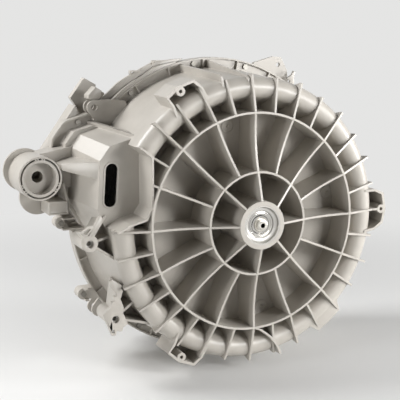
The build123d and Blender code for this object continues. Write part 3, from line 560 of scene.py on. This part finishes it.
def draw_plate(corners, depths, radius=PLATE_EDGE, openings=()):
    """Draw a plate's outline and openings in X and Z, fill it, extrude it in Y and round its edges."""
    rear, front = depths
    bpy.ops.object.select_all(action="DESELECT")
    bpy.ops.mesh.primitive_circle_add(vertices=3, radius=MM, fill_type="NOTHING")
    plate = bpy.context.object
    bpy.ops.object.mode_set(mode="EDIT")
    bpy.ops.mesh.select_mode(type="EDGE")
    bpy.ops.mesh.select_all(action="SELECT")
    bpy.ops.mesh.delete(type="VERT")
    for loop in (corners, *openings):
        # A circle with a vertex for each corner, taken in turn round it, is pulled out to the corners
        bpy.ops.mesh.select_all(action="DESELECT")
        bpy.ops.mesh.primitive_circle_add(vertices=len(loop), radius=MM, fill_type="NOTHING")
        mesh = bmesh.from_edit_mesh(plate.data)
        drawn = [vertex for vertex in mesh.verts if vertex.select]
        drawn.sort(key=lambda vertex: atan2(vertex.co.y, vertex.co.x))
        for vertex, (x, z) in zip(drawn, loop):
            vertex.co = (x * MM, rear * MM, z * MM)
        bmesh.update_edit_mesh(plate.data)
    bpy.ops.mesh.select_all(action="SELECT")
    bpy.ops.mesh.fill()
    bpy.ops.mesh.dissolve_limited(angle_limit=radians(1))
    bpy.ops.mesh.select_all(action="SELECT")
    push_faces(y=front - rear)
    bpy.ops.mesh.select_all(action="SELECT")
    bpy.ops.mesh.normals_make_consistent(inside=False)
    bpy.ops.object.mode_set(mode="OBJECT")
    if radius:
        soften(plate, radius)
    return plate


def finish_moulded(piece, name):
    """Finish a piece that is moulded in one with the tub."""
    finish_piece(piece, name, bpy.data.materials["filled_polypropylene_moulded"], "tub")


class FinishSettings(bpy.types.PropertyGroup):
    """Colours and grain of the assembly's materials."""

    tub_tint: bpy.props.FloatVectorProperty(
        name="Tub", description="Lighter tone of the tub's plastic",
        default=linear("B7B2AA"), subtype="COLOR", size=3, min=0.0, max=1.0,
    )
    tub_shade: bpy.props.FloatVectorProperty(
        name="Tub, darker", description="Darker tone of the tub's plastic",
        default=linear("ABA69E"), subtype="COLOR", size=3, min=0.0, max=1.0,
    )
    lifter_tint: bpy.props.FloatVectorProperty(
        name="Lifters", description="Tone of the lifters' plastic",
        default=linear("C9C9C6"), subtype="COLOR", size=3, min=0.0, max=1.0,
    )
    grain: bpy.props.FloatProperty(
        name="Grain", description="Size of the plastic's surface grain in millimetres",
        default=2.5, min=0.2, max=10.0,
    )


class ShapeSettings(bpy.types.PropertyGroup):
    """Sizes and counts of the finer pieces."""

    round_sides: bpy.props.IntProperty(
        name="Round sides", description="Sides of a turned piece", default=96, min=24, max=256,
    )
    hole_size: bpy.props.FloatProperty(
        name="Drain holes", description="Width of the drum's drain holes in millimetres",
        default=3.6, min=1.0, max=8.0,
    )
    hole_columns: bpy.props.IntProperty(
        name="Hole columns", description="Drain holes round the drum", default=96, min=24, max=160,
    )
    hole_rows: bpy.props.IntProperty(
        name="Hole rows", description="Drain holes along the drum", default=12, min=2, max=14,
    )
    back_sides: bpy.props.IntProperty(
        name="Rear sheet sides", description="Sides of the drum's rear sheet", default=72, min=24, max=180,
    )


class StageSettings(bpy.types.PropertyGroup):
    """Size of the floor and strength of the lights."""

    floor_side: bpy.props.FloatProperty(
        name="Floor", description="Side of the square floor",
        default=14.0, min=1.0, max=50.0, unit="LENGTH",
    )
    floor_colour: bpy.props.FloatVectorProperty(
        name="Floor colour", description="Tone of the floor",
        default=linear("E2E2E1"), subtype="COLOR", size=3, min=0.0, max=1.0,
    )
    right_power: bpy.props.FloatProperty(
        name="Right light", description="Power of the soft light on the right",
        default=38.0, min=0.0, max=1000.0, unit="POWER",
    )
    near_power: bpy.props.FloatProperty(
        name="Near light", description="Power of the soft light to the right of the camera",
        default=34.0, min=0.0, max=1000.0, unit="POWER",
    )
    left_power: bpy.props.FloatProperty(
        name="Left light", description="Power of the soft light low on the left",
        default=17.0, min=0.0, max=1000.0, unit="POWER",
    )
    far_power: bpy.props.FloatProperty(
        name="Far light", description="Power of the soft light on the far side, above on the left",
        default=40.0, min=0.0, max=1000.0, unit="POWER",
    )
    ambient: bpy.props.FloatProperty(
        name="Ambient", description="Strength of the light from all around",
        default=0.015, min=0.0, max=2.0,
    )


class DRUM_OT_tub_finish(bpy.types.Operator):
    """Give the tub's halves and all that is moulded on them their plastic"""

    bl_idname = "drum.tub_finish"
    bl_label = "Tub finish"

    def execute(self, context):
        settings = context.scene.drum_finish
        # Filled polypropylene, injection moulded: warm grey, satin, slightly cloudy from the filler.
        # Its spark-eroded grain is about 0.2 mm, too fine to show, so it is drawn coarser.
        material = moulded_plastic(
            "filled_polypropylene_moulded", settings.tub_tint, settings.tub_shade,
            roughness=0.34, cloud_mm=70.0, grain_mm=settings.grain, grain_depth=0.05,
        )
        give(material, "tub_plastic")
        return {"FINISHED"}


class DRUM_OT_rubber_finish(bpy.types.Operator):
    """Give the seals their rubber"""

    bl_idname = "drum.rubber_finish"
    bl_label = "Rubber finish"

    def execute(self, context):
        # Nitrile rubber, pressed: near black and dull, with a slightly powdery bloom
        material = moulded_plastic(
            "nitrile_rubber_pressed", linear("262524"), linear("33312F"),
            roughness=0.62, cloud_mm=12.0, grain_mm=1.2, grain_depth=0.04,
        )
        give(material, "rubber")
        return {"FINISHED"}


class DRUM_OT_fastener_finish(bpy.types.Operator):
    """Give the screws and bolts their plating, and the bushes their turned steel"""

    bl_idname = "drum.fastener_finish"
    bl_label = "Fastener finish"

    def execute(self, context):
        # Zinc plated steel: dulled grey with a patchy bloom
        zinc = grained_metal(
            "steel_zinc_plated", linear("9A9791"), linear("85827C"),
            roughness=0.44, spread=0.14, grain_mm=2.0, depth=0.02,
        )
        give(zinc, "zinc_steel")
        # Machined free-cutting steel: bright lines round its bore
        turned = worked_metal(
            "steel_turned", linear("C6C4C0"), linear("B3B0AB"),
            roughness=0.22, spread=0.18, line_mm=0.6, cloud_mm=20.0, depth=0.02,
        )
        give(turned, "insert_steel")
        return {"FINISHED"}


class DRUM_OT_bearing_finish(bpy.types.Operator):
    """Give the bearings and the shaft their ground steel"""

    bl_idname = "drum.bearing_finish"
    bl_label = "Bearing and shaft finish"

    def execute(self, context):
        # Hardened bearing steel, ground: mirror-like with hair-fine rings
        bearing = worked_metal(
            "bearing_steel_ground", linear("D0CECA"), linear("C2C0BC"),
            roughness=0.12, spread=0.10, line_mm=0.5, cloud_mm=15.0, depth=0.01,
        )
        give(bearing, "bearing_steel")
        # Carbon steel, ground: pale, slightly warm, soft shine
        shaft = worked_metal(
            "shaft_steel_ground", linear("DCD9D2"), linear("CFCBC3"),
            roughness=0.24, spread=0.12, line_mm=0.8, cloud_mm=15.0, depth=0.01,
        )
        give(shaft, "shaft_steel")
        return {"FINISHED"}


class DRUM_OT_drum_finish(bpy.types.Operator):
    """Give the drum its sheet steel, the spider its casting and the lifters their plastic"""

    bl_idname = "drum.drum_finish"
    bl_label = "Drum finish"

    def execute(self, context):
        # Stainless steel sheet, cold rolled: satin, with fine streaks round the drum from its polishing
        sheet = worked_metal(
            "stainless_sheet_rolled", linear("C4C4C3"), linear("B4B4B3"),
            roughness=0.24, spread=0.12, line_mm=3.0, cloud_mm=80.0, depth=0.02,
        )
        give(sheet, "stainless_sheet")
        # Aluminium, pressure die cast: grey, finely pitted, no polish
        casting = grained_metal(
            "aluminium_die_cast", linear("B0B0AE"), linear("94948F"),
            roughness=0.42, spread=0.18, grain_mm=3.0, depth=0.10,
        )
        give(casting, "cast_aluminium")
        # Polypropylene, polished mould: smooth pale grey with a soft gloss
        tint = context.scene.drum_finish.lifter_tint
        shade = [part * LIFTER_SHADE for part in tint]
        smooth = moulded_plastic(
            "polypropylene_smooth", tint, shade,
            roughness=0.30, cloud_mm=60.0, grain_mm=3.0, grain_depth=0.02,
        )
        give(smooth, "lifter_plastic")
        return {"FINISHED"}


class DRUM_OT_hub_parts(bpy.types.Operator):
    """Turn the sleeve with its lip, the rear bearing's rings and shield, and the shaft with its thread"""

    bl_idname = "drum.hub_parts"
    bl_label = "Hub and shaft"

    def execute(self, context):
        sides = context.scene.drum_shape.round_sides
        turned = bpy.data.materials["steel_turned"]
        ground = bpy.data.materials["bearing_steel_ground"]
        shaft_steel = bpy.data.materials["shaft_steel_ground"]

        sleeve = turn_profile(SLEEVE_PROFILE, sides, "ring")
        finish_piece(sleeve, "bearing_sleeve_with_lip", turned, "tub")
        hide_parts("bearing_sleeve")
        outer = turn_profile(OUTER_RING_PROFILE, sides, "ring")
        finish_piece(outer, "rear_bearing_outer_race", ground, "tub")
        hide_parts("rear_bearing_outer_ring")
        inner = turn_profile(INNER_RING_PROFILE, sides, "ring")
        finish_piece(inner, "rear_bearing_inner_race", ground, "drum")
        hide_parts("rear_bearing_inner_ring")
        shield = turn_profile(SHIELD_PROFILE, sides, "ring")
        finish_piece(shield, "rear_bearing_shield", ground, "tub")
        shaft = turn_profile(SHAFT_PROFILE, sides, "caps")
        finish_piece(shaft, "drum_shaft_with_bore", shaft_steel, "drum")
        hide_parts("drum_shaft")

        # Cut thread, oiled steel, coloured nearly black: painted shade that stands for the shadow deep in
        # the bore
        thread_painted_shade = grained_metal(
            "steel_thread_oiled", linear("2E2C2A"), linear("1D1C1B"),
            roughness=0.35, spread=0.2, grain_mm=1.0, depth=0.02,
        )
        profile = []
        for turn in range(THREAD_TURNS):
            place = THREAD_START - turn * THREAD_PITCH
            profile += [(THREAD_CREST, place), (THREAD_ROOT, place - THREAD_PITCH / 2)]
        mouth = profile[-1][1]
        profile += [(THREAD_BACK, mouth), (THREAD_BACK, THREAD_BACK_END), (THREAD_CREST, THREAD_TIP)]
        thread = turn_profile(profile, sides // 2, "caps")
        finish_piece(thread, "shaft_thread", thread_painted_shade, "drum")
        return {"FINISHED"}


class DRUM_OT_moulded_plates(bpy.types.Operator):
    """Draw the flat moulded forms: lug faces, cable holder, flange lobe and hook, block and rib"""

    bl_idname = "drum.moulded_plates"
    bl_label = "Moulded plates"

    def execute(self, context):
        lower_hole = ring_of(LOWER_LUG_HOLE, LUG_HOLE_RADIUS, LUG_HOLE_SIDES)
        upper_hole = ring_of(UPPER_LUG_HOLE, LUG_HOLE_RADIUS, LUG_HOLE_SIDES)
        plates = (
            ("motor_lug_face_lower", LOWER_LUG_FACE, LUG_FACE_DEPTHS, (lower_hole, LOWER_LUG_GAP)),
            ("motor_lug_face_upper", UPPER_LUG_FACE, LUG_FACE_DEPTHS, (upper_hole,)),
            ("cable_holder", CABLE_HOLDER, HOLDER_DEPTHS, (CABLE_HOLDER_GAP,)),
            ("flange_lobe", FLANGE_LOBE, LOBE_DEPTHS, ()),
            ("flange_step", FLANGE_STEP, STEP_DEPTHS, ()),
            ("flange_hook", FLANGE_HOOK, HOOK_DEPTHS, ()),
            ("clevis_block", CLEVIS_BLOCK, BLOCK_DEPTHS, ()),
            ("outlet_rib", OUTLET_RIB, RIB_DEPTHS, ()),
        )
        for name, corners, depths, openings in plates:
            finish_moulded(draw_plate(corners, depths, openings=openings), name)
        return {"FINISHED"}


class DRUM_OT_slanting_wall(bpy.types.Operator):
    """Draw the slanting wall of the front half and hollow it from the front"""

    bl_idname = "drum.slanting_wall"
    bl_label = "Slanting wall"

    def execute(self, context):
        wall = draw_plate(SLANT_WALL, WALL_DEPTHS, radius=0)
        edit_faces()
        select_faces(wall, lambda face: face.normal.y > 0.9)
        bpy.ops.mesh.inset(thickness=WALL_THICKNESS * MM)
        push_faces(y=-WALL_HOLLOW)
        bpy.ops.object.mode_set(mode="OBJECT")
        soften(wall, WALL_EDGE)
        finish_moulded(wall, "front_slanting_wall")
        return {"FINISHED"}


class DRUM_OT_cable_pins(bpy.types.Operator):
    """Shape one cable pin and set its copies on the lower lug's arm"""

    bl_idname = "drum.cable_pins"
    bl_label = "Cable pins"

    def execute(self, context):
        bpy.ops.object.select_all(action="DESELECT")
        bpy.ops.mesh.primitive_cylinder_add(
            vertices=PIN_SIDES, radius=PIN_RADIUS * MM, depth=PIN_POST * MM, rotation=(radians(90), 0, 0),
        )
        pin = context.object
        bpy.ops.object.transform_apply(location=True, rotation=True, scale=True)
        edit_faces()
        select_faces(pin, lambda face: face.normal.y < -0.9)
        bpy.ops.mesh.inset(thickness=PIN_NECK_STEP * MM)
        push_faces(y=-PIN_FLARE)
        bpy.ops.transform.resize(value=(PIN_FLARE_RATIO, 1, PIN_FLARE_RATIO), center_override=(0, 0, 0))
        push_faces(y=-PIN_HEAD)
        bpy.ops.object.mode_set(mode="OBJECT")
        for number, (x, z) in enumerate(PIN_SPOTS, start=1):
            copy = copy_of(pin)
            copy.location = (x * MM, PIN_Y * MM, z * MM)
            finish_moulded(copy, f"cable_pin_{number}")
        remove(pin)
        return {"FINISHED"}


class DRUM_OT_flange_tabs(bpy.types.Operator):
    """Shape one flat tab with a lip turned down at its end and set its copies on the flange's lobe"""

    bl_idname = "drum.flange_tabs"
    bl_label = "Flange tabs"

    def execute(self, context):
        length, _, thickness = TAB_SIZE
        tab = add_box((0, 0, 0), TAB_SIZE)
        edit_faces()
        select_faces(tab, lambda face: face.normal.x < -0.9)
        push_faces(x=-thickness)
        tip = -length / 2 * MM
        select_faces(tab, lambda face: face.normal.z < -0.9 and face.calc_center_median().x < tip)
        push_faces(z=-TAB_LIP)
        bpy.ops.object.mode_set(mode="OBJECT")
        soften(tab, PLATE_EDGE)
        for number, (x, z) in enumerate(TAB_SPOTS, start=1):
            copy = copy_of(tab)
            copy.location = (x * MM, TAB_Y * MM, z * MM)
            finish_moulded(copy, f"flange_tab_{number}")
        remove(tab)
        return {"FINISHED"}


class DRUM_OT_outlet_duct(bpy.types.Operator):
    """Shape the wedge that leads the outlet into the sump's wall, and the block below the outlet"""

    bl_idname = "drum.outlet_duct"
    bl_label = "Outlet wedge and block"

    def execute(self, context):
        wedge = add_box((0, 0, 0), (1, 1, 1))
        for vertex in wedge.data.vertices:
            front, left, upper = vertex.co.y > 0, vertex.co.x < 0, vertex.co.z > 0
            vertex.co = Vector(DUCT_WEDGE[4 * front + 2 * left + upper]) * MM
        soften(wedge, WEDGE_EDGE)
        finish_moulded(wedge, "outlet_wedge")

        # The block has a shallow face between its walls
        block = add_box(OUTLET_BLOCK_MIDDLE, OUTLET_BLOCK_SIZE)
        edit_faces()
        select_faces(block, lambda face: face.normal.y < -0.9)
        bpy.ops.mesh.inset(thickness=OUTLET_BLOCK_RIM * MM)
        push_faces(y=OUTLET_BLOCK_SINK)
        bpy.ops.object.mode_set(mode="OBJECT")
        soften(block, PLATE_EDGE)
        finish_moulded(block, "outlet_block")
        return {"FINISHED"}


class DRUM_OT_ejector_marks(bpy.types.Operator):
    """Turn the raised rings with a stub in them, and lay them on the sloping floor of the back"""

    bl_idname = "drum.ejector_marks"
    bl_label = "Ejector marks"

    def execute(self, context):
        slope = (FLOOR_RING[1] - FLOOR_HUB[1]) / (FLOOR_RING[0] - FLOOR_HUB[0])
        for number, (x, z) in enumerate(MARK_SPOTS, start=1):
            reach = (x ** 2 + z ** 2) ** 0.5
            floor = FLOOR_HUB[1] + slope * (reach - FLOOR_HUB[0])
            mark = turn_profile(MARK_RING, MARK_RING_SIDES, "ring")
            stub = turn_profile(MARK_STUB, MARK_STUB_SIDES, "caps")
            bpy.ops.object.select_all(action="DESELECT")
            mark.select_set(True)
            stub.select_set(True)
            context.view_layer.objects.active = mark
            bpy.ops.object.join()
            outward = Vector((x * slope / reach, -1.0, z * slope / reach))
            mark.rotation_mode = "QUATERNION"
            mark.rotation_quaternion = outward.to_track_quat("-Y", "Z")
            mark.location = (x * MM, floor * MM, z * MM)
            finish_moulded(mark, f"ejector_mark_{number}")
        return {"FINISHED"}


class DRUM_OT_drum_shell(bpy.types.Operator):
    """Model the drum's shell with its drain holes"""

    bl_idname = "drum.drum_shell"
    bl_label = "Drum shell"

    def execute(self, context):
        shape = context.scene.drum_shape

        # One cell of the shell, drawn out from the drain hole to the edges of its square
        turn = 2 * pi / shape.hole_columns
        half = SHELL_MIDDLE * MM * sin(turn / 2) / cos(turn / 2)
        hole = shape.hole_size / 2 * MM
        corner = 2 ** 0.5
        if hole * corner >= half or shape.hole_rows * 2 * half > (SHELL_FRONT - SHELL_REAR) * MM:
            raise RuntimeError("the drain holes don't fit on the shell")
        bpy.ops.object.select_all(action="DESELECT")
        bpy.ops.mesh.primitive_circle_add(vertices=HOLE_SIDES, radius=hole, fill_type="NOTHING")
        shell = context.object
        bpy.ops.object.mode_set(mode="EDIT")
        bpy.ops.mesh.select_mode(type="VERT")
        bpy.ops.mesh.select_all(action="SELECT")
        bpy.ops.mesh.extrude_region_move(TRANSFORM_OT_translate={"value": (0, 0, 0)})
        bpy.ops.transform.resize(value=(half / hole, half / hole, 1), center_override=(0, 0, 0))

        # The outer vertices between the axes go out to the corners of the square
        mesh = bmesh.from_edit_mesh(shell.data)
        for vertex in mesh.verts:
            across = min(abs(vertex.co.x), abs(vertex.co.y))
            vertex.select_set(across > hole)
        mesh.select_flush(False)
        bmesh.update_edit_mesh(shell.data)
        bpy.ops.transform.resize(value=(corner, corner, 1), center_override=(0, 0, 0))
        bpy.ops.object.mode_set(mode="OBJECT")

        # A column of cells with a plain band at each end
        column = shell.modifiers.new("column", "ARRAY")
        column.count = shape.hole_rows
        column.use_relative_offset = False
        column.use_constant_offset = True
        column.constant_offset_displace = (0, 2 * half, 0)
        column.use_merge_vertices = True
        column.merge_threshold = MERGE_WITHIN
        bpy.ops.object.modifier_apply(modifier="column")
        first = (SHELL_REAR + SHELL_FRONT) / 2 * MM - (shape.hole_rows - 1) * half
        shell.rotation_euler = (0, radians(90), 0)
        shell.location = (SHELL_MIDDLE * MM, first, 0)
        bpy.ops.object.transform_apply(location=True, rotation=True, scale=True)
        low = first - half
        high = first + (2 * shape.hole_rows - 1) * half
        bpy.ops.object.mode_set(mode="EDIT")
        for place, end in ((low, SHELL_REAR * MM), (high, SHELL_FRONT * MM)):
            bpy.ops.mesh.select_all(action="DESELECT")
            mesh = bmesh.from_edit_mesh(shell.data)
            for vertex in mesh.verts:
                if abs(vertex.co.y - place) < MERGE_WITHIN:
                    vertex.select_set(True)
            mesh.select_flush(True)
            bmesh.update_edit_mesh(shell.data)
            bpy.ops.mesh.extrude_region_move(TRANSFORM_OT_translate={"value": (0, end - place, 0)})

        # The column is spun round the axis, and the sheet is given its thickness
        bpy.ops.mesh.select_all(action="SELECT")
        steps = shape.hole_columns - 1
        bpy.ops.mesh.spin(steps=steps, dupli=True, angle=steps * turn, center=(0, 0, 0), axis=(0, 1, 0))
        bpy.ops.mesh.select_all(action="SELECT")
        bpy.ops.mesh.remove_doubles(threshold=MERGE_WITHIN)
        bpy.ops.mesh.normals_make_consistent(inside=False)
        bpy.ops.object.mode_set(mode="OBJECT")
        wall = shell.modifiers.new("wall", "SOLIDIFY")
        wall.thickness = SHEET_THICKNESS * MM
        wall.offset = 0
        bpy.ops.object.modifier_apply(modifier="wall")
        sheet = bpy.data.materials["stainless_sheet_rolled"]
        finish_piece(shell, "drum_shell_with_drain_holes", sheet, "drum")
        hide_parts("drum_shell")
        return {"FINISHED"}


def on_panel(face, sides):
    """Whether a face of the rear sheet, seen from inside the drum, lies on a pressed panel."""
    middle = face.calc_center_median()
    reach = (middle.x ** 2 + middle.z ** 2) ** 0.5 / MM
    count = int(atan2(middle.z, middle.x) % (2 * pi) * sides / (2 * pi))
    inner, outer = PANEL_REACH
    return face.normal.y > 0.5 and inner < reach < outer and count % PANEL_SIDES != 0


class DRUM_OT_drum_back(bpy.types.Operator):
    """Turn the drum's rear sheet and press its panels, between its plain rim and middle"""

    bl_idname = "drum.drum_back"
    bl_label = "Drum rear sheet"

    def execute(self, context):
        sides = context.scene.drum_shape.back_sides
        back = turn_profile(BACK_PROFILE, sides, "caps")
        edit_faces()
        bpy.ops.mesh.select_all(action="SELECT")
        bpy.ops.mesh.normals_make_consistent(inside=False)
        select_faces(back, lambda face: on_panel(face, sides))
        bpy.ops.mesh.inset(thickness=PANEL_EDGE * MM, depth=PANEL_DEPTH * MM)
        bpy.ops.object.mode_set(mode="OBJECT")
        sheet = bpy.data.materials["stainless_sheet_rolled"]
        finish_piece(back, "drum_back_pressed", sheet, "drum")
        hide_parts("drum_back")
        return {"FINISHED"}


def look_at(eye, target):
    """Turn that points a light's -Z from eye to target."""
    return (Vector(target) - Vector(eye)).to_track_quat("-Z", "Y").to_euler()


def soft_light(name, eye, target, side, power):
    """Square soft light."""
    bpy.ops.object.light_add(type="AREA", location=eye, rotation=look_at(eye, target))
    light = bpy.context.object
    light.name = name
    light.data.shape = "SQUARE"
    light.data.size = side
    light.data.energy = power


def background_rays(tree):
    """1 for the rays that should see a plain pale background, 0 for those that light the object."""
    ray = add_node(tree, "ShaderNodeLightPath")
    seen = add_node(
        tree, "ShaderNodeMath",
        {0: ray.outputs["Is Camera Ray"], 1: ray.outputs["Is Glossy Ray"]}, operation="MAXIMUM",
    )
    shown = add_node(
        tree, "ShaderNodeMath",
        {0: seen.outputs["Value"], 1: ray.outputs["Is Transmission Ray"]}, operation="MAXIMUM",
    )
    return shown.outputs["Value"]


def lay_floor(settings, spot):
    """Floor that is lit and keeps the shadow round the object, and runs into the background beyond it."""
    bpy.ops.object.select_all(action="DESELECT")
    bpy.ops.mesh.primitive_plane_add(size=settings.floor_side, location=spot)
    floor = bpy.context.object
    floor.name = "studio_floor"
    material, tree, output = new_material("painted_studio_floor")
    place = add_node(tree, "ShaderNodeTexCoord")
    speck = add_node(
        tree, "ShaderNodeTexNoise",
        {"Vector": place.outputs["Object"], "Scale": per_mm(400.0), "Detail": 3.0},
    )
    colour = add_node(
        tree, "ShaderNodeMix",
        {
            "Factor": speck.outputs["Fac"], "A": opaque(settings.floor_colour),
            "B": opaque([part * FLOOR_SHADE for part in settings.floor_colour]),
        },
        data_type="RGBA",
    )
    paint = add_node(
        tree, "ShaderNodeBsdfPrincipled", {"Base Color": colour.outputs["Result"], "Roughness": 0.5},
    )
    glow = add_node(
        tree, "ShaderNodeEmission",
        {"Color": opaque(linear(BACKGROUND_TONE)), "Strength": BACKGROUND_STRENGTH},
    )
    reach = add_node(tree, "ShaderNodeVectorMath", {0: place.outputs["Object"]}, operation="LENGTH")
    far = add_node(
        tree, "ShaderNodeMapRange",
        {"Value": reach.outputs["Value"], "From Min": FLOOR_LIT_TO, "From Max": FLOOR_PLAIN_FROM},
        interpolation_type="SMOOTHSTEP",
    )
    share = add_node(
        tree, "ShaderNodeMath", {0: far.outputs["Result"], 1: background_rays(tree)}, operation="MULTIPLY",
    )
    both = add_node(
        tree, "ShaderNodeMixShader",
        {0: share.outputs["Value"], 1: paint.outputs["BSDF"], 2: glow.outputs["Emission"]},
    )
    tree.links.new(both.outputs["Shader"], output.inputs["Surface"])
    floor.data.materials.append(material)
    floor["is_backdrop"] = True


def light_world(settings):
    """World that lights the object faintly from all around and is seen as a plain pale background."""
    world = bpy.data.worlds.new("studio")
    world.use_nodes = True
    tree = world.node_tree
    tree.nodes.clear()
    strength = add_node(
        tree, "ShaderNodeMapRange",
        {"Value": background_rays(tree), "To Min": settings.ambient, "To Max": BACKGROUND_STRENGTH},
    )
    background = add_node(
        tree, "ShaderNodeBackground",
        {"Color": opaque(linear(BACKGROUND_TONE)), "Strength": strength.outputs["Result"]},
    )
    add_node(tree, "ShaderNodeOutputWorld", {"Surface": background.outputs["Background"]})
    bpy.context.scene.world = world


def place_camera():
    """Camera that sees the object as the photograph does."""
    turn, rise = radians(CAMERA_TURN), radians(CAMERA_RISE)
    back = Vector((sin(turn) * cos(rise), -cos(turn) * cos(rise), sin(rise)))
    right = (-back).cross(Vector((0, 0, 1))).normalized()
    upward = right.cross(-back)
    bpy.ops.object.camera_add()
    camera = bpy.context.object
    camera.name = "camera"
    camera.data.lens = CAMERA_LENS
    camera.data.sensor_width = SENSOR_WIDTH
    place = back * CAMERA_DISTANCE + right * CAMERA_RIGHT + upward * CAMERA_UP
    turned = Matrix((right, upward, back)).transposed().to_4x4()
    camera.matrix_world = Matrix.Translation(place) @ turned
    bpy.context.scene.camera = camera


class DRUM_OT_stage(bpy.types.Operator):
    """Lay the floor, set the lights and place the camera"""

    bl_idname = "drum.stage"
    bl_label = "Stage"

    def execute(self, context):
        settings = context.scene.drum_stage
        low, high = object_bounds()
        middle = (Vector(low) + Vector(high)) / 2
        lay_floor(settings, (middle.x, middle.y, low[2]))
        for name, eye, side in LIGHTS:
            soft_light(f"{name}_light", eye, middle, side, getattr(settings, f"{name}_power"))
        light_world(settings)
        place_camera()
        context.scene.view_settings.view_transform = "Standard"
        return {"FINISHED"}


class DRUM_PT_panel(bpy.types.Panel):
    """Sizes and colours of the assembly, and a button for each step"""

    bl_idname = "DRUM_PT_panel"
    bl_label = "Drum assembly"
    bl_space_type = "VIEW_3D"
    bl_region_type = "UI"
    bl_category = "Drum"

    def draw(self, context):
        for settings in (context.scene.drum_finish, context.scene.drum_shape, context.scene.drum_stage):
            box = self.layout.box()
            for name in settings.__annotations__:
                box.prop(settings, name)
        for step in STEPS:
            self.layout.operator(step.bl_idname)


STEPS = (
    DRUM_OT_tub_finish,
    DRUM_OT_rubber_finish,
    DRUM_OT_fastener_finish,
    DRUM_OT_bearing_finish,
    DRUM_OT_drum_finish,
    DRUM_OT_hub_parts,
    DRUM_OT_moulded_plates,
    DRUM_OT_slanting_wall,
    DRUM_OT_cable_pins,
    DRUM_OT_flange_tabs,
    DRUM_OT_outlet_duct,
    DRUM_OT_ejector_marks,
    DRUM_OT_drum_shell,
    DRUM_OT_drum_back,
    DRUM_OT_stage,
)
CLASSES = (FinishSettings, ShapeSettings, StageSettings) + STEPS + (DRUM_PT_panel,)


def register():
    for made in CLASSES:
        bpy.utils.register_class(made)
    bpy.types.Scene.drum_finish = bpy.props.PointerProperty(type=FinishSettings)
    bpy.types.Scene.drum_shape = bpy.props.PointerProperty(type=ShapeSettings)
    bpy.types.Scene.drum_stage = bpy.props.PointerProperty(type=StageSettings)


def unregister():
    del bpy.types.Scene.drum_finish
    del bpy.types.Scene.drum_shape
    del bpy.types.Scene.drum_stage
    for made in reversed(CLASSES):
        bpy.utils.unregister_class(made)


def main():
    """Register the add-on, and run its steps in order."""
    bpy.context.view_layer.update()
    register()
    bpy.ops.drum.tub_finish()
    bpy.ops.drum.rubber_finish()
    bpy.ops.drum.fastener_finish()
    bpy.ops.drum.bearing_finish()
    bpy.ops.drum.drum_finish()
    bpy.ops.drum.hub_parts()
    bpy.ops.drum.moulded_plates()
    bpy.ops.drum.slanting_wall()
    bpy.ops.drum.cable_pins()
    bpy.ops.drum.flange_tabs()
    bpy.ops.drum.outlet_duct()
    bpy.ops.drum.ejector_marks()
    bpy.ops.drum.drum_shell()
    bpy.ops.drum.drum_back()
    bpy.ops.drum.stage()


if __name__ == "__main__":
    main()
